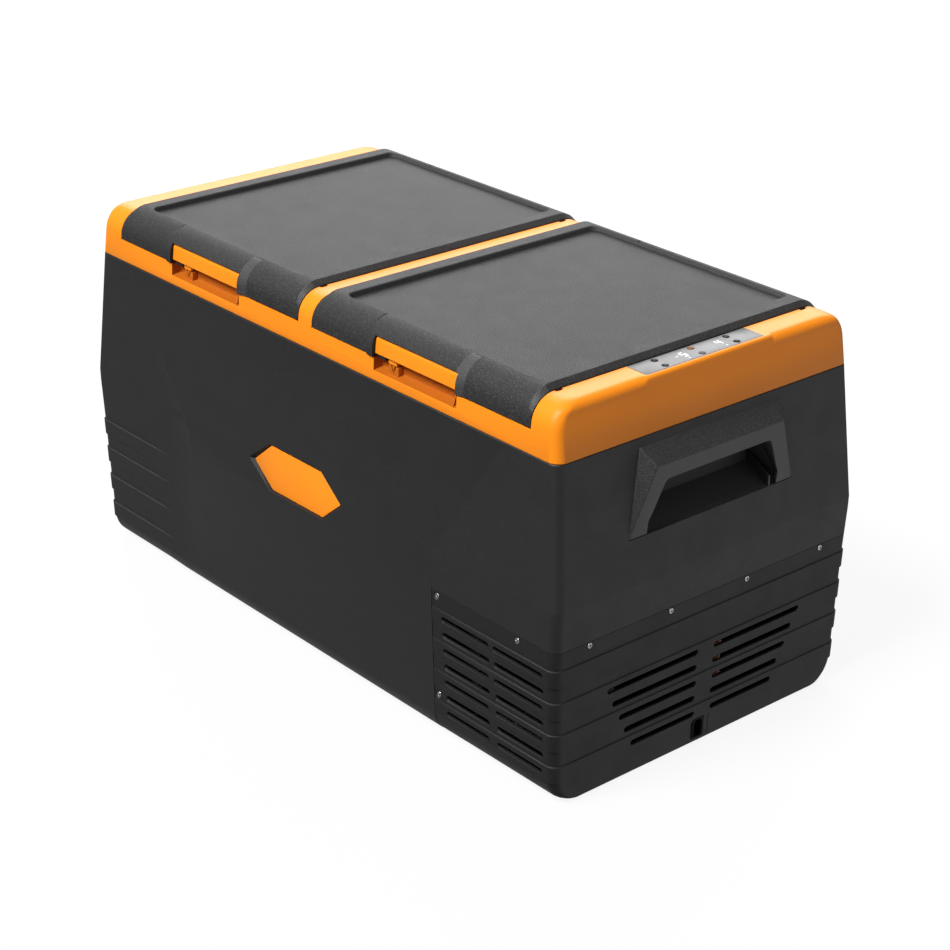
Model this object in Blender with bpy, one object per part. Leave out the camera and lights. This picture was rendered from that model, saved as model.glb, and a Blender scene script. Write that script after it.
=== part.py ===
"""Dual-lid compressor cooler fridge, as separate named pieces.

The frame is in metres with +Z up and the origin at the middle of the footprint.
+X is the compressor end and -Y is the front with the latches.
Every size in this file is in millimetres and is turned into metres when a mesh is made.
"""

import math

import bmesh
import bpy

MM = 0.001
FIT = 0.3  # gap left between pieces that touch
FAR = 600.0  # larger than the whole object, for cutters

# Body: half length and half width at four heights
FOOT_HALF = (413.5, 211.7)
RIB_HALF = (416.0, 217.5)
BELT_HALF = (417.65, 217.6)
SEAM_HALF = (403.0, 208.9)
RIB_TOP = 159.9
COVER_TOP = 181.5
CREASE = 212.0
BELT = 226.0
SEAM = 378.5
RIB_PITCH = 37.6
RIB_HEIGHT = 18.8
RIB_DEPTH = 1.3
RIB_STEP = 0.8
CORNER_R = 12.0
FRONT_FOOT_R = 30.0
END_FOOT_R = 3.0
PANEL_PROUD = 2.5
WALL = 3.0

# Compressor bay
BAY_X = 226.0
BAY_WALL = 4.0
COVER_FLOOR = 3.4

# Badge plate: centre, then half width at the tips, half length of the flat edges, half height
BADGE_CENTRE = (-7.5, 218.8)
BADGE_HALF = (79.0, 46.0, 27.0)
BADGE_MOUTH_CENTRE = (-7.8, 220.3)
BADGE_MOUTH_HALF = (85.3, 47.5, 29.2)

# Top frame
FRAME_END_SLOPE = 0.12
FRAME_SIDE_SLOPE = 0.055
ROLL_R = 28.6
ROLL_Z = 408.0
ROLL_Y = 178.6
BENCH = 403.4
PANEL_Y = (-82.4, 84.8)
PANEL_X = (363.8, 392.0)

# The two compartments: ends of the lid, of the liner's inside, of the raised grip and of the latch
SIDES = {
    "left": {
        "lid": (-357.2, -10.6),
        "liner": (-341.0, -29.0),
        "grip": (-259.0, -106.0),
        "latch": (-250.5, -120.3),
    },
    "right": {
        "lid": (14.8, 362.5),
        "liner": (33.0, 347.0),
        "grip": (111.4, 263.3),
        "latch": (122.0, 252.3),
    },
}
CATCH_OFFSET = 17.5  # from the latch's left end to the catch on the frame
CATCH_WIDTH = 16.0
LINER_Y = 170.0
LINER_FLOOR = 42.0
LINER_WALL = 2.0
SHELF_X = 203.0
SHELF_Z = 198.0
LIP_TOP = 378.2

# Lids
FLAP_BOTTOM = 404.4
LID_R = 32.0
LID_Y = 175.3
LID_Z = 410.8
LID_CHAMFER_X = 6.2
LID_CHAMFER_Z = 5.5
TRAY_FLOOR = 436.8
TRAY_Y = 180.0
GRIP_PROUD = 3.0
GRIP_STEP = 0.6
GRIP_CHAMFER = 13.0

# Lid hinge and latch pins
HINGE = (208.0, 404.0)
BARREL_R = 5.5
HINGE_PIN_R = 2.0
LATCH = (-200.3, 421.5)
LATCH_R = 5.0
LATCH_PIN_R = 1.6

BUTTONS = {
    "button_power": (369.8, 0.9),
    "button_left_up": (369.8, -50.0),
    "button_left_down": (385.7, -50.6),
    "button_right_up": (369.8, 52.1),
    "button_right_down": (385.7, 51.4),
    "button_set": (385.7, 1.5),
}

COLOURS = {
    "shell": (0.035, 0.035, 0.037),
    "orange": (0.85, 0.27, 0.03),
    "lid": (0.05, 0.05, 0.053),
    "white": (0.75, 0.76, 0.76),
    "foam": (0.80, 0.74, 0.52),
    "metal": (0.55, 0.56, 0.57),
    "panel": (0.30, 0.31, 0.32),
    "black": (0.012, 0.012, 0.013),
    "copper": (0.60, 0.28, 0.15),
    "green": (0.03, 0.16, 0.07),
}


# ---------------------------------------------------------------- shapes

def box(x, y, z):
    """Box from three (low, high) pairs."""
    points = [(a, b, c) for c in z for b in y for a in x]
    faces = [(0, 2, 3, 1), (4, 5, 7, 6), (0, 1, 5, 4), (1, 3, 7, 5), (3, 2, 6, 7), (2, 0, 4, 6)]
    return points, faces


def loft(rings, closed=False):
    """Skin through rings of equal length, capped at both ends or closed on itself."""
    count = len(rings[0])
    points = [p for ring in rings for p in ring]
    faces = []
    pairs = len(rings) if closed else len(rings) - 1
    for i in range(pairs):
        low = i * count
        high = ((i + 1) % len(rings)) * count
        for k in range(count):
            n = (k + 1) % count
            faces.append((low + k, low + n, high + n, high + k))
    if not closed:
        faces.append(tuple(reversed(range(count))))
        faces.append(tuple(range(len(points) - count, len(points))))
    return points, faces


def place(axis, a, b, along):
    """Point from two cross-section values and one value along the axis."""
    if axis == "X":
        return (along, a, b)
    if axis == "Y":
        return (a, along, b)
    return (a, b, along)


def prism(outline, axis, low, high):
    """Outline drawn in the plane across the axis, extruded along it."""
    return loft([[place(axis, a, b, t) for a, b in outline] for t in (low, high)])


def lathe(profile, axis, centre, count=16):
    """Round solid from (position along the axis, radius) pairs."""
    rings = []
    for along, radius in profile:
        ring = []
        for k in range(count):
            turn = 2 * math.pi * (k + 0.5) / count
            a = centre[0] + radius * math.cos(turn)
            b = centre[1] + radius * math.sin(turn)
            ring.append(place(axis, a, b, along))
        rings.append(ring)
    return loft(rings)


def rod(axis, centre, low, high, radius, count=16):
    return lathe([(low, radius), (high, radius)], axis, centre, count)


def tube(path, radius, count=8):
    """Round bar along a path, with mitred bends."""
    rings = []
    side = None
    for place_number, point in enumerate(path):
        back = path[max(place_number - 1, 0)]
        ahead = path[min(place_number + 1, len(path) - 1)]
        run = [q - p for p, q in zip(back, ahead)]
        size = math.sqrt(sum(c * c for c in run))
        run = [c / size for c in run]
        if side is None:
            side = (0.0, 0.0, 1.0) if abs(run[2]) < 0.9 else (1.0, 0.0, 0.0)
        dot = sum(a * b for a, b in zip(side, run))
        side = [a - dot * b for a, b in zip(side, run)]
        size = math.sqrt(sum(c * c for c in side))
        side = [c / size for c in side]
        other = [
            run[1] * side[2] - run[2] * side[1],
            run[2] * side[0] - run[0] * side[2],
            run[0] * side[1] - run[1] * side[0],
        ]
        ring = []
        for k in range(count):
            turn = 2 * math.pi * k / count
            c, s = math.cos(turn) * radius, math.sin(turn) * radius
            ring.append(tuple(point[i] + c * side[i] + s * other[i] for i in range(3)))
        rings.append(ring)
    return loft(rings)


def rounded(x, y, radius, count=3):
    """Rectangle outline with rounded corners, from two (low, high) pairs."""
    corners = [(x[1], y[0], 270), (x[1], y[1], 0), (x[0], y[1], 90), (x[0], y[0], 180)]
    outline = []
    for cx, cy, start in corners:
        inner_x = cx - radius if cx == x[1] else cx + radius
        inner_y = cy - radius if cy == y[1] else cy + radius
        for k in range(count + 1):
            turn = math.radians(start + 90.0 * k / count)
            outline.append((inner_x + radius * math.cos(turn), inner_y + radius * math.sin(turn)))
    return outline


def slot(x, z, half_height):
    """Slot outline with round ends."""
    outline = []
    for centre, start in ((x[1] - half_height, -90), (x[0] + half_height, 90)):
        for k in range(4):
            turn = math.radians(start + 60.0 * k)
            outline.append((centre + half_height * math.cos(turn), z + half_height * math.sin(turn)))
    return outline


def joined(shapes):
    """Several separate solids as one cutter."""
    points, faces = [], []
    for more_points, more_faces in shapes:
        base = len(points)
        points += more_points
        faces += [tuple(base + i for i in face) for face in more_faces]
    return points, faces


# ---------------------------------------------------------------- objects

def clear_scene():
    for item in list(bpy.data.objects):
        bpy.data.objects.remove(item, do_unlink=True)


def mesh_object(name, shape, origin=(0.0, 0.0, 0.0)):
    """Object from a shape in millimetres, with its origin where asked."""
    work = bmesh.new()
    if shape[1] is None:
        corners = [work.verts.new(p) for p in shape[0]]
        bmesh.ops.convex_hull(work, input=corners)
    else:
        corners = [work.verts.new(p) for p in shape[0]]
        for face in shape[1]:
            work.faces.new([corners[i] for i in face])
    bmesh.ops.triangulate(work, faces=[face for face in work.faces if len(face.verts) == 4])
    bmesh.ops.recalc_face_normals(work, faces=work.faces)
    for vert in work.verts:
        vert.co = [(c - o) * MM for c, o in zip(vert.co, origin)]
    mesh = bpy.data.meshes.new(name)
    work.to_mesh(mesh)
    work.free()
    item = bpy.data.objects.new(name, mesh)
    item.location = [o * MM for o in origin]
    bpy.context.scene.collection.objects.link(item)
    return item


def piece(name, shape, colour, origin=(0.0, 0.0, 0.0), rough=0.5, metal=0.0, smooth=True):
    """Visible piece with a material of its own."""
    item = mesh_object(name, shape, origin)
    material = bpy.data.materials.new(name)
    material.use_nodes = True
    shader = material.node_tree.nodes["Principled BSDF"]
    shader.inputs["Base Color"].default_value = (*COLOURS[colour], 1.0)
    shader.inputs["Roughness"].default_value = rough
    shader.inputs["Metallic"].default_value = metal
    item.data.materials.append(material)
    if smooth:
        item.data.shade_smooth()
        item.data.set_sharp_from_angle(angle=math.radians(32))
    return item


def combine(item, tool, operation="DIFFERENCE"):
    """Boolean with a shape or with an object that is itself a tool."""
    if isinstance(tool, tuple):
        tool = mesh_object(f"{item.name}.tool{len(item.modifiers)}", tool)
    tool.hide_render = True
    tool.display_type = "WIRE"
    step = item.modifiers.new(f"step{len(item.modifiers)}", "BOOLEAN")
    step.operation = operation
    step.solver = "EXACT"
    step.object = tool
    return item


def cut(item, *tools):
    for tool in tools:
        combine(item, tool)
    return item


def add(item, *tools):
    for tool in tools:
        combine(item, tool, "UNION")
    return item


# ---------------------------------------------------------------- body surface

def mix(a, b, t):
    return a + (b - a) * t


def body_half(z):
    """Half length and half width of the body without its ribs."""
    steps = [(0.0, FOOT_HALF), (RIB_TOP, RIB_HALF), (BELT, BELT_HALF), (SEAM, SEAM_HALF)]
    low, high = steps[0], steps[1]
    for first, second in zip(steps, steps[1:]):
        if z >= first[0]:
            low, high = first, second
    t = (z - low[0]) / (high[0] - low[0])
    return mix(low[1][0], high[1][0], t), mix(low[1][1], high[1][1], t)


def rib_ledges():
    """Heights of the upward steps, from the bottom."""
    return [RIB_TOP - RIB_PITCH * k for k in (3, 2, 1, 0)]


def rib_recess(z):
    """How far the wall is set back from the rib faces at a height."""
    if z >= RIB_TOP:
        if z <= RIB_TOP + 0.01:
            return 0.0
        return max(0.0, RIB_DEPTH * (CREASE - z) / (CREASE - RIB_TOP - RIB_STEP))
    for ledge in rib_ledges():
        if ledge - RIB_HEIGHT - 0.01 <= z <= ledge + 0.01:
            return 0.0
    return RIB_DEPTH


def body_levels():
    levels = [FRONT_FOOT_R * (1 - math.cos(math.radians(a))) for a in (0, 22.5, 45, 67.5)]
    for ledge in rib_ledges():
        levels += [ledge - RIB_HEIGHT - RIB_STEP, ledge - RIB_HEIGHT, ledge, ledge + RIB_STEP]
    return levels + [COVER_TOP, CREASE, BELT, SEAM - FIT]


def foot_drop(z, radius, inset):
    """Setback of a rounded bottom edge at a height."""
    radius = max(radius - inset, 0.5)
    height = z - inset
    if height >= radius:
        return 0.0
    return radius - math.sqrt(max(radius * radius - (radius - height) ** 2, 0.0))


def corner(hx, hy, sx, sy, radius, count=4):
    """Quarter circle at one corner, running anticlockwise seen from above."""
    start = {(-1, -1): 180, (1, -1): 270, (1, 1): 0, (-1, 1): 90}[sx, sy]
    points = []
    for k in range(count + 1):
        turn = math.radians(start + 90.0 * k / count)
        points.append((sx * (hx - radius) + radius * math.cos(turn),
                       sy * (hy - radius) + radius * math.sin(turn)))
    return points


def panel_stations(z):
    """Stations along the front: x, share of the rib setback, share of the panel's standing."""
    if z >= CREASE:
        up = (z - CREASE) / (SEAM - CREASE)
        lean = max(0.0, (z - 219.0) / (SEAM - 219.0))
        left, right = mix(-214.0, -344.0, up), mix(190.0, 326.0, up)
        outer_left, outer_right = mix(-222.0, -346.5, lean), mix(222.0, 328.5, lean)
    else:
        up, lean = 0.0, 0.0
        left = mix(-219.0, -214.0, z / CREASE)
        right = mix(223.0, 190.0, z / CREASE)
        outer_left, outer_right = -222.0, mix(225.4, 222.0, z / CREASE)
    return [
        (mix(-300.0, -352.0, lean), 1.0, 0.0),
        (mix(-262.0, -349.0, lean), 0.0, 0.0),
        (outer_left, 0.0, 0.0),
        (left, 0.0, 1.0),
        (right, 0.0, 1.0),
        (outer_right, 0.0, 0.0),
        (mix(BAY_X - 0.1, 331.0, lean), 0.0, 0.0),
        (mix(BAY_X + 0.1, 333.5, lean), 1.0, 0.0),
    ]


def body_ring(z):
    """Outside of the body at a height, with the ribs and the faceted panels."""
    hx, hy = body_half(z)
    recess = rib_recess(z)
    side = hy - foot_drop(z, FRONT_FOOT_R, 0.0)
    end = hx - foot_drop(z, END_FOOT_R, 0.0) - recess
    if z >= CREASE:
        proud = PANEL_PROUD * (SEAM - z) / (SEAM - CREASE)
    else:
        proud = PANEL_PROUD * z / CREASE
    front = [(x, -(side - share * recess + panel * proud)) for x, share, panel in panel_stations(z)]
    rear = [(x, -y) for x, y in reversed(front)]
    ring = corner(end, side - recess, -1, -1, CORNER_R) + front
    ring += corner(end, side - recess, 1, -1, CORNER_R)
    ring += corner(end, side - recess, 1, 1, CORNER_R) + rear
    ring += corner(end, side - recess, -1, 1, CORNER_R)
    return [(x, y, z) for x, y in ring]


def inner_ring(z, inset):
    """Plain ring set in from the body's deepest wall."""
    hx, hy = body_half(z)
    end = hx - RIB_DEPTH - inset - foot_drop(z, END_FOOT_R, inset)
    side = hy - RIB_DEPTH - inset - foot_drop(z, FRONT_FOOT_R, inset)
    radius = max(CORNER_R - inset, 5.0)
    ring = []
    for sx, sy in ((-1, -1), (1, -1), (1, 1), (-1, 1)):
        ring += corner(end, side, sx, sy, radius, 3)
    return [(x, y, z) for x, y in ring]


def inner_loft(inset, low, high):
    """Solid that fills the body up to a set distance from its wall."""
    levels = [low, RIB_TOP, BELT, high]
    radius = FRONT_FOOT_R - inset
    for turn in (25, 50, 75, 90):
        levels.append(inset + radius * (1 - math.cos(math.radians(turn))))
    levels = sorted({round(z, 3) for z in levels if low <= z <= high})
    return loft([inner_ring(z, inset) for z in levels])


def wall_x(z):
    return body_half(z)[0] - rib_recess(z)


def wall_y(z):
    return body_half(z)[1] - rib_recess(z)


# ---------------------------------------------------------------- body pieces

def handle_hull(sign, grow, back, front):
    """Solid under the handle's faces; back is its depth inside the wall."""
    half_top, half_foot = 100.5 + grow, 119.2 + grow
    high, low = 368.5 + grow, 275.0 - grow
    points = []
    for side in (-1, 1):
        for z, half in ((high, half_top), (low, half_foot)):
            points.append((sign * (wall_x(z) - back), side * half, z))
            points.append((sign * (wall_x(z) + front), side * half, z))
        if front == 0.0:
            points.append((sign * 421.5, side * 91.0, 350.5))
    return points, None


def grip_opening(sign, half_foot, half_top, low, high):
    """Finger opening of a handle, through the wall."""
    outline = [(-half_foot, low), (half_foot, low), (half_foot, 290.0), (half_top, high),
               (-half_top, high), (-half_foot, 290.0)]
    span = sorted((sign * 378.0, sign * 440.0))
    return prism(outline, "X", *span)


def screw_places():
    """Name, axis, side and cross position of every cover screw."""
    places = []
    for face, side in (("front", -1), ("rear", 1)):
        for number, (x, z) in enumerate(((234.4, 175.0), (359.5, 175.2), (233.2, 55.5)), 1):
            places.append((f"cover_screw_{face}_{number}", "Y", side, (x, z)))
    for number, y in enumerate((-170.0, -56.0, 56.0, 170.0), 1):
        places.append((f"cover_screw_end_{number}", "X", 1, (y, 177.0)))
    return places


def screw_hole(axis, side, cross, radius=2.3):
    wall = wall_y(cross[1]) if axis == "Y" else wall_x(cross[1])
    span = sorted((side * (wall - 16.0), side * (wall + 12.0)))
    return rod(axis, cross, *span, radius, 12)


def make_shell():
    shell = piece("outer_shell", loft([body_ring(z) for z in body_levels()]), "shell")
    cavity = mesh_object("shell_cavity", inner_loft(WALL, WALL + 0.5, SEAM + 20.0))
    cut(cavity, box((BAY_X - BAY_WALL, FAR), (-FAR, FAR), (-10.0, COVER_TOP + BAY_WALL)))
    for sign in (-1, 1):
        span = sorted((sign * 374.5, sign * FAR))
        cut(cavity, box(span, (-124.0, 124.0), (268.0, 374.0)))
    tongue = mesh_object("bay_tongue", inner_loft(WALL + 0.4, 34.0, COVER_TOP + 1.0))
    cut(tongue, inner_loft(WALL + 3.4, 32.0, COVER_TOP + 6.0))
    cut(tongue, box((-FAR, BAY_X - 1.0), (-FAR, FAR), (0.0, 300.0)))
    cut(tongue, box((BAY_X + 14.0, FAR), (-FAR, FAR), (0.0, COVER_TOP - 13.0)))
    bay = mesh_object("bay_space", box((BAY_X, FAR), (-FAR, FAR), (-10.0, COVER_TOP)))
    cut(bay, tongue)
    cut(shell, cavity, bay)
    for sign in (-1, 1):
        cut(shell, handle_hull(sign, FIT, 3.0 + FIT, 9.0))
        cut(shell, grip_opening(sign, 93.0, 72.5, 278.0, 330.0))
    cut(shell, badge_recess(), joined([screw_hole(*p[1:]) for p in screw_places()]))


def vent_slots():
    """Air slots through the bay cover's front, rear and end walls."""
    shapes = []
    for row in range(7):
        z = RIB_TOP - RIB_HEIGHT / 2 - RIB_HEIGHT * row
        for start, end in ((241.5, 316.2), (322.5, 398.0)):
            shift = 0.85 * row
            outline = slot((start + shift, end - 0.3 * row), z, 3.0)
            shapes.append(prism(outline, "Y", -FAR / 2, -198.0))
            shapes.append(prism(outline, "Y", 198.0, FAR / 2))
        if row >= 2:
            reach = 142.5 - 9.3 * (row - 2)
            shapes.append(prism(slot((12.0, reach), z, 3.0), "X", 398.0, FAR))
            shapes.append(prism(slot((-reach, -12.0), z, 3.0), "X", 398.0, FAR))
    return joined(shapes)


def make_cover():
    cover = piece("compressor_bay_cover", loft([body_ring(z) for z in body_levels()[:-3]]), "shell")
    combine(cover, box((BAY_X + FIT, FAR), (-FAR, FAR), (-10.0, COVER_TOP - FIT)), "INTERSECT")
    cut(cover, inner_loft(WALL, COVER_FLOOR, COVER_TOP + 20.0))
    cut(cover, box((-FAR, 385.0), (-170.0, 170.0), (-10.0, 60.0)))
    cut(cover, vent_slots())
    cut(cover, joined([screw_hole(*p[1:]) for p in screw_places()]))
    cut(cover, box((395.0, FAR), (-13.6, 4.3), (5.7, 30.3)))
    half = 184.0
    outline = [(BAY_X + 1.0, -half), (403.0, -half), (403.0, half), (BAY_X + 1.0, half)]
    piece("base_plate", prism(outline, "Z", COVER_FLOOR + 0.2, COVER_FLOOR + 1.8), "metal",
          metal=1.0, rough=0.35)


def make_screws():
    for name, axis, side, cross in screw_places():
        wall = wall_y(cross[1]) if axis == "Y" else wall_x(cross[1])
        steps = [(-11.0, 1.7), (-9.5, 2.0), (0.35, 2.0), (0.35, 3.9), (1.2, 3.8), (1.9, 2.6)]
        profile = [(side * (wall + out), radius) for out, radius in steps]
        piece(name, lathe(profile, axis, cross, 12), "metal", metal=1.0, rough=0.3)


def make_handles():
    for name, sign in (("handle_left", -1), ("handle_right", 1)):
        handle = piece(name, handle_hull(sign, 0.0, 3.0, 0.0), "shell", smooth=False)
        cut(handle, grip_opening(sign, 94.0, 73.0, 265.0, 330.5))


def hexagon(centre, half_width, half_flat, half_height):
    x, z = centre
    return [(x - half_width, z), (x - half_flat, z - half_height), (x + half_flat, z - half_height),
            (x + half_width, z), (x + half_flat, z + half_height), (x - half_flat, z + half_height)]


def badge_recess():
    """Six-sided hollow in the front wall, wider at its mouth."""
    floor = hexagon(BADGE_CENTRE, BADGE_HALF[0] + 1.0, BADGE_HALF[1] + 0.6, BADGE_HALF[2] + 0.6)
    mouth = hexagon(BADGE_MOUTH_CENTRE, *BADGE_MOUTH_HALF)
    beyond = [(2.0 * a - c, 2.0 * b - d) for (a, b), (c, d) in zip(mouth, floor)]
    rings = ((floor, -215.0), (mouth, -220.2), (beyond, -225.4))
    return loft([[(a, y, b) for a, b in outline] for outline, y in rings])


def make_badge():
    plate = hexagon(BADGE_CENTRE, *BADGE_HALF)
    piece("badge", prism(plate, "Y", -216.8, -215.0 - FIT), "orange", rough=0.4, smooth=False)


# ---------------------------------------------------------------- top frame

def frame_half(z):
    end = SEAM_HALF[0] - FRAME_END_SLOPE * (z - SEAM)
    side = SEAM_HALF[1] - FRAME_SIDE_SLOPE * (z - SEAM)
    if z > 426.0:
        end = 387.0 + math.sqrt(max(10.6 ** 2 - (z - 426.0) ** 2, 0.0))
    if z > ROLL_Z:
        side = ROLL_Y + math.sqrt(max(ROLL_R ** 2 - (z - ROLL_Z) ** 2, 0.0))
    return end, side


def frame_ring(z, inset=0.0):
    """Outside of the top frame; the right end stands further out beside the control panel."""
    end, side = frame_half(z)
    end -= inset
    side -= inset
    bulge = SEAM_HALF[0] - FRAME_END_SLOPE * (z - SEAM) - inset
    if z > 432.6:
        bulge = 392.5 + math.sqrt(max(16.0 - (z - 432.6) ** 2, 0.0))
    ring = corner(end, side, -1, -1, CORNER_R) + corner(end, side, 1, -1, CORNER_R)
    ring += [(end, -90.0), (bulge, -84.5), (bulge, 92.0), (end, 97.5)]
    ring += corner(end, side, 1, 1, CORNER_R) + corner(end, side, -1, 1, CORNER_R)
    return [(x, y, z) for x, y in ring]


def grip_span(side, margin):
    """Ends of the latch paddle on one side, grown by a margin."""
    low, high = SIDES[side]["latch"]
    return low - margin, high + margin


def hinge_spans(side):
    """Ends of the lid's barrel and of the two knuckles on the frame."""
    low, high = SIDES[side]["liner"]
    barrel = (low + 46.0, high - 46.0)
    left = (barrel[0] - 22.0, barrel[0] - FIT)
    right = (barrel[1] + FIT, barrel[1] + 22.0)
    return barrel, left, right


def make_frame():
    turns = [math.radians(a) for a in (0, 15, 30, 45, 60, 75, 90)]
    levels = [SEAM] + [ROLL_Z + ROLL_R * math.sin(a) for a in turns]
    frame = piece("top_frame", loft([frame_ring(z) for z in levels]), "orange", rough=0.4)
    hollow = mesh_object("frame_hollow", loft([frame_ring(z, 3.5) for z in (370.0, 399.9)]))
    for side in SIDES:
        low, high = SIDES[side]["liner"]
        cut(hollow, box((low - 5.5, high + 5.5), (-175.5, 175.5), (300.0, 450.0)))
        grip = grip_span(side, 5.5)
        cut(hollow, box(grip, (-FAR, -191.0), (380.0, 450.0)))
        hinge = hinge_spans(side)
        cut(hollow, box((hinge[1][0] - 4.0, hinge[2][1] + 4.0), (195.0, FAR), (392.0, 450.0)))
    cut(frame, hollow)
    cut(frame, box((367.5, 391.0), (-172.0, 172.0), (365.0, 425.5)))
    cut(frame, box((-391.0, -362.2), (-172.0, 172.0), (365.0, 431.5)))
    cut(frame, box((-5.6, 9.8), (-172.0, 172.0), (365.0, 432.0)))
    for side in SIDES:
        low, high = SIDES[side]["lid"]
        inner = SIDES[side]["liner"]
        cut(frame, box((low - 1.0, high + 1.0), (-FAR, FAR), (BENCH, 500.0)))
        cut(frame, box((inner[0] - 2.0, inner[1] + 2.0), (-172.0, 172.0), (300.0, 500.0)))
        outline = [(-216.0, 387.8), (-209.0, 389.3), (-196.0, 391.5), (-195.2, 415.0), (-216.0, 415.0)]
        cut(frame, prism(outline, "X", *grip_span(side, 1.0)))
        catch = SIDES[side]["latch"][0] + CATCH_OFFSET
        add(frame, box((catch, catch + CATCH_WIDTH), (-203.0, -193.0), (388.0, 400.5)))
        barrel, left, right = hinge_spans(side)
        cut(frame, rod("X", HINGE, barrel[0] - FIT, barrel[1] + FIT, BARREL_R + 0.8, 20))
        add(frame, rod("X", HINGE, *left, BARREL_R, 20), rod("X", HINGE, *right, BARREL_R, 20))
        cut(frame, rod("X", HINGE, left[0] - 1.0, right[1] + 1.0, HINGE_PIN_R + 0.1))
    recess = rounded((PANEL_X[0] - FIT, PANEL_X[1] + 0.1), (PANEL_Y[0] - FIT, PANEL_Y[1] + FIT), 2.5)
    cut(frame, prism(recess, "Z", 428.5, 500.0))


def make_controls():
    panel = piece("control_panel", prism(rounded(PANEL_X, PANEL_Y, 2.2), "Z", 434.6, 436.9), "panel")
    holes = [rod("Z", centre, 430.0, 440.0, 3.7, 16) for centre in BUTTONS.values()]
    cut(panel, joined(holes))
    board = box((PANEL_X[0] + 1.5, PANEL_X[1] - 1.5), (PANEL_Y[0] + 2.0, PANEL_Y[1] - 2.0), (430.0, 431.6))
    piece("display_board", board, "green", smooth=False)
    for name, centre in BUTTONS.items():
        profile = [(432.4, 4.2), (433.6, 4.2), (433.6, 3.4), (437.0, 3.4), (437.4, 3.0)]
        colour = "orange" if name == "button_power" else "black"
        piece(name, lathe(profile, "Z", centre, 16), colour, origin=(*centre, 432.4))


# ---------------------------------------------------------------- inside

def liner_rings(x, y, floor, wall, flange):
    """One-piece tub: outside, lip, inside."""
    steps = [
        (wall, floor - wall), (wall, LIP_TOP - 3.0), (wall + flange, LIP_TOP - 3.0),
        (wall + flange, LIP_TOP), (0.0, LIP_TOP), (0.0, floor),
    ]
    rings = []
    for grow, z in steps:
        outline = rounded((x[0] - grow, x[1] + grow), (y[0] - grow, y[1] + grow), 14.0 + grow)
        rings.append([(a, b, z) for a, b in outline])
    return loft(rings)


def make_liners():
    y = (-LINER_Y, LINER_Y)
    left, right = SIDES["left"]["liner"], SIDES["right"]["liner"]
    piece("liner_left", liner_rings(left, y, LINER_FLOOR, LINER_WALL, 8.0), "white")
    liner = piece("liner_right", liner_rings(right, y, SHELF_Z, LINER_WALL, 8.0), "white")
    deep = (right[0], SHELF_X)
    outline = rounded((deep[0] - LINER_WALL, deep[1] + LINER_WALL), (y[0] - 2.0, y[1] + 2.0), 16.0)
    add(liner, prism(outline, "Z", LINER_FLOOR - LINER_WALL, SHELF_Z - 0.6))
    cut(liner, prism(rounded(deep, y, 14.0), "Z", LINER_FLOOR, SHELF_Z + 1.0))


def make_foam():
    foam = piece("foam_insulation", inner_loft(WALL + 0.5, WALL + 1.0, LIP_TOP - 3.3), "foam")
    gap = LINER_WALL + 3.0
    left, right = SIDES["left"]["liner"], SIDES["right"]["liner"]
    wide = (-LINER_Y - gap, LINER_Y + gap)
    cut(foam, box((left[0] - gap, left[1] + gap), wide, (LINER_FLOOR - gap, 450.0)))
    cut(foam, box((right[0] - gap, right[1] + gap), wide, (SHELF_Z - gap, 450.0)))
    cut(foam, box((right[0] - gap, SHELF_X + gap), wide, (LINER_FLOOR - gap, SHELF_Z)))
    cut(foam, box((BAY_X - BAY_WALL - 0.5, FAR), (-FAR, FAR), (-10.0, COVER_TOP + BAY_WALL + 0.5)))
    for sign in (-1, 1):
        span = sorted((sign * 374.0, sign * FAR))
        cut(foam, box(span, (-124.5, 124.5), (267.5, 450.0)))


def band(x, y, z, thickness, radius):
    """Flat strip wrapped once around a rectangle."""
    outer = rounded(x, y, radius)
    inner = rounded((x[0] + thickness, x[1] - thickness), (y[0] + thickness, y[1] - thickness),
                    radius - thickness)
    rings = [(outer, z[0]), (outer, z[1]), (inner, z[1]), (inner, z[0])]
    return loft([[(a, b, c) for a, b in outline] for outline, c in rings], closed=True)


def make_evaporators():
    for side, z in (("left", (70.0, 300.0)), ("right", (215.0, 335.0))):
        low, high = SIDES[side]["liner"]
        grow = LINER_WALL + 1.6
        shape = band((low - grow, high + grow), (-LINER_Y - grow, LINER_Y + grow), z, 1.2, 17.6)
        piece(f"evaporator_{side}", shape, "metal", metal=1.0)
    lamp = prism(rounded((-20.0, 20.0), (364.0, 374.0), 2.0), "X", -31.6, -29.2)
    piece("interior_light", lamp, "white", rough=0.3)


def sector(inner, outer, start, end, centre):
    outline = []
    for k in range(7):
        turn = math.radians(mix(start, end, k / 6))
        outline.append((centre[0] + outer * math.cos(turn), centre[1] + outer * math.sin(turn)))
    for k in range(4):
        turn = math.radians(mix(end, start, k / 3))
        outline.append((centre[0] + inner * math.cos(turn), centre[1] + inner * math.sin(turn)))
    return outline


def fan_ring(centre, turn_offset, y, blades=7, hub=18.0, tip=53.0):
    """Cross-section of the fan wheel; turning it along the axis pitches the blades."""
    ring = []
    step = 360.0 / blades
    for blade in range(blades):
        for share, radius in ((0.06, hub), (0.10, tip), (0.34, tip), (0.40, hub), (0.70, hub)):
            turn = math.radians(turn_offset + step * (blade + share))
            ring.append((centre[0] + radius * math.cos(turn), y, centre[1] + radius * math.sin(turn)))
    return ring


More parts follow.
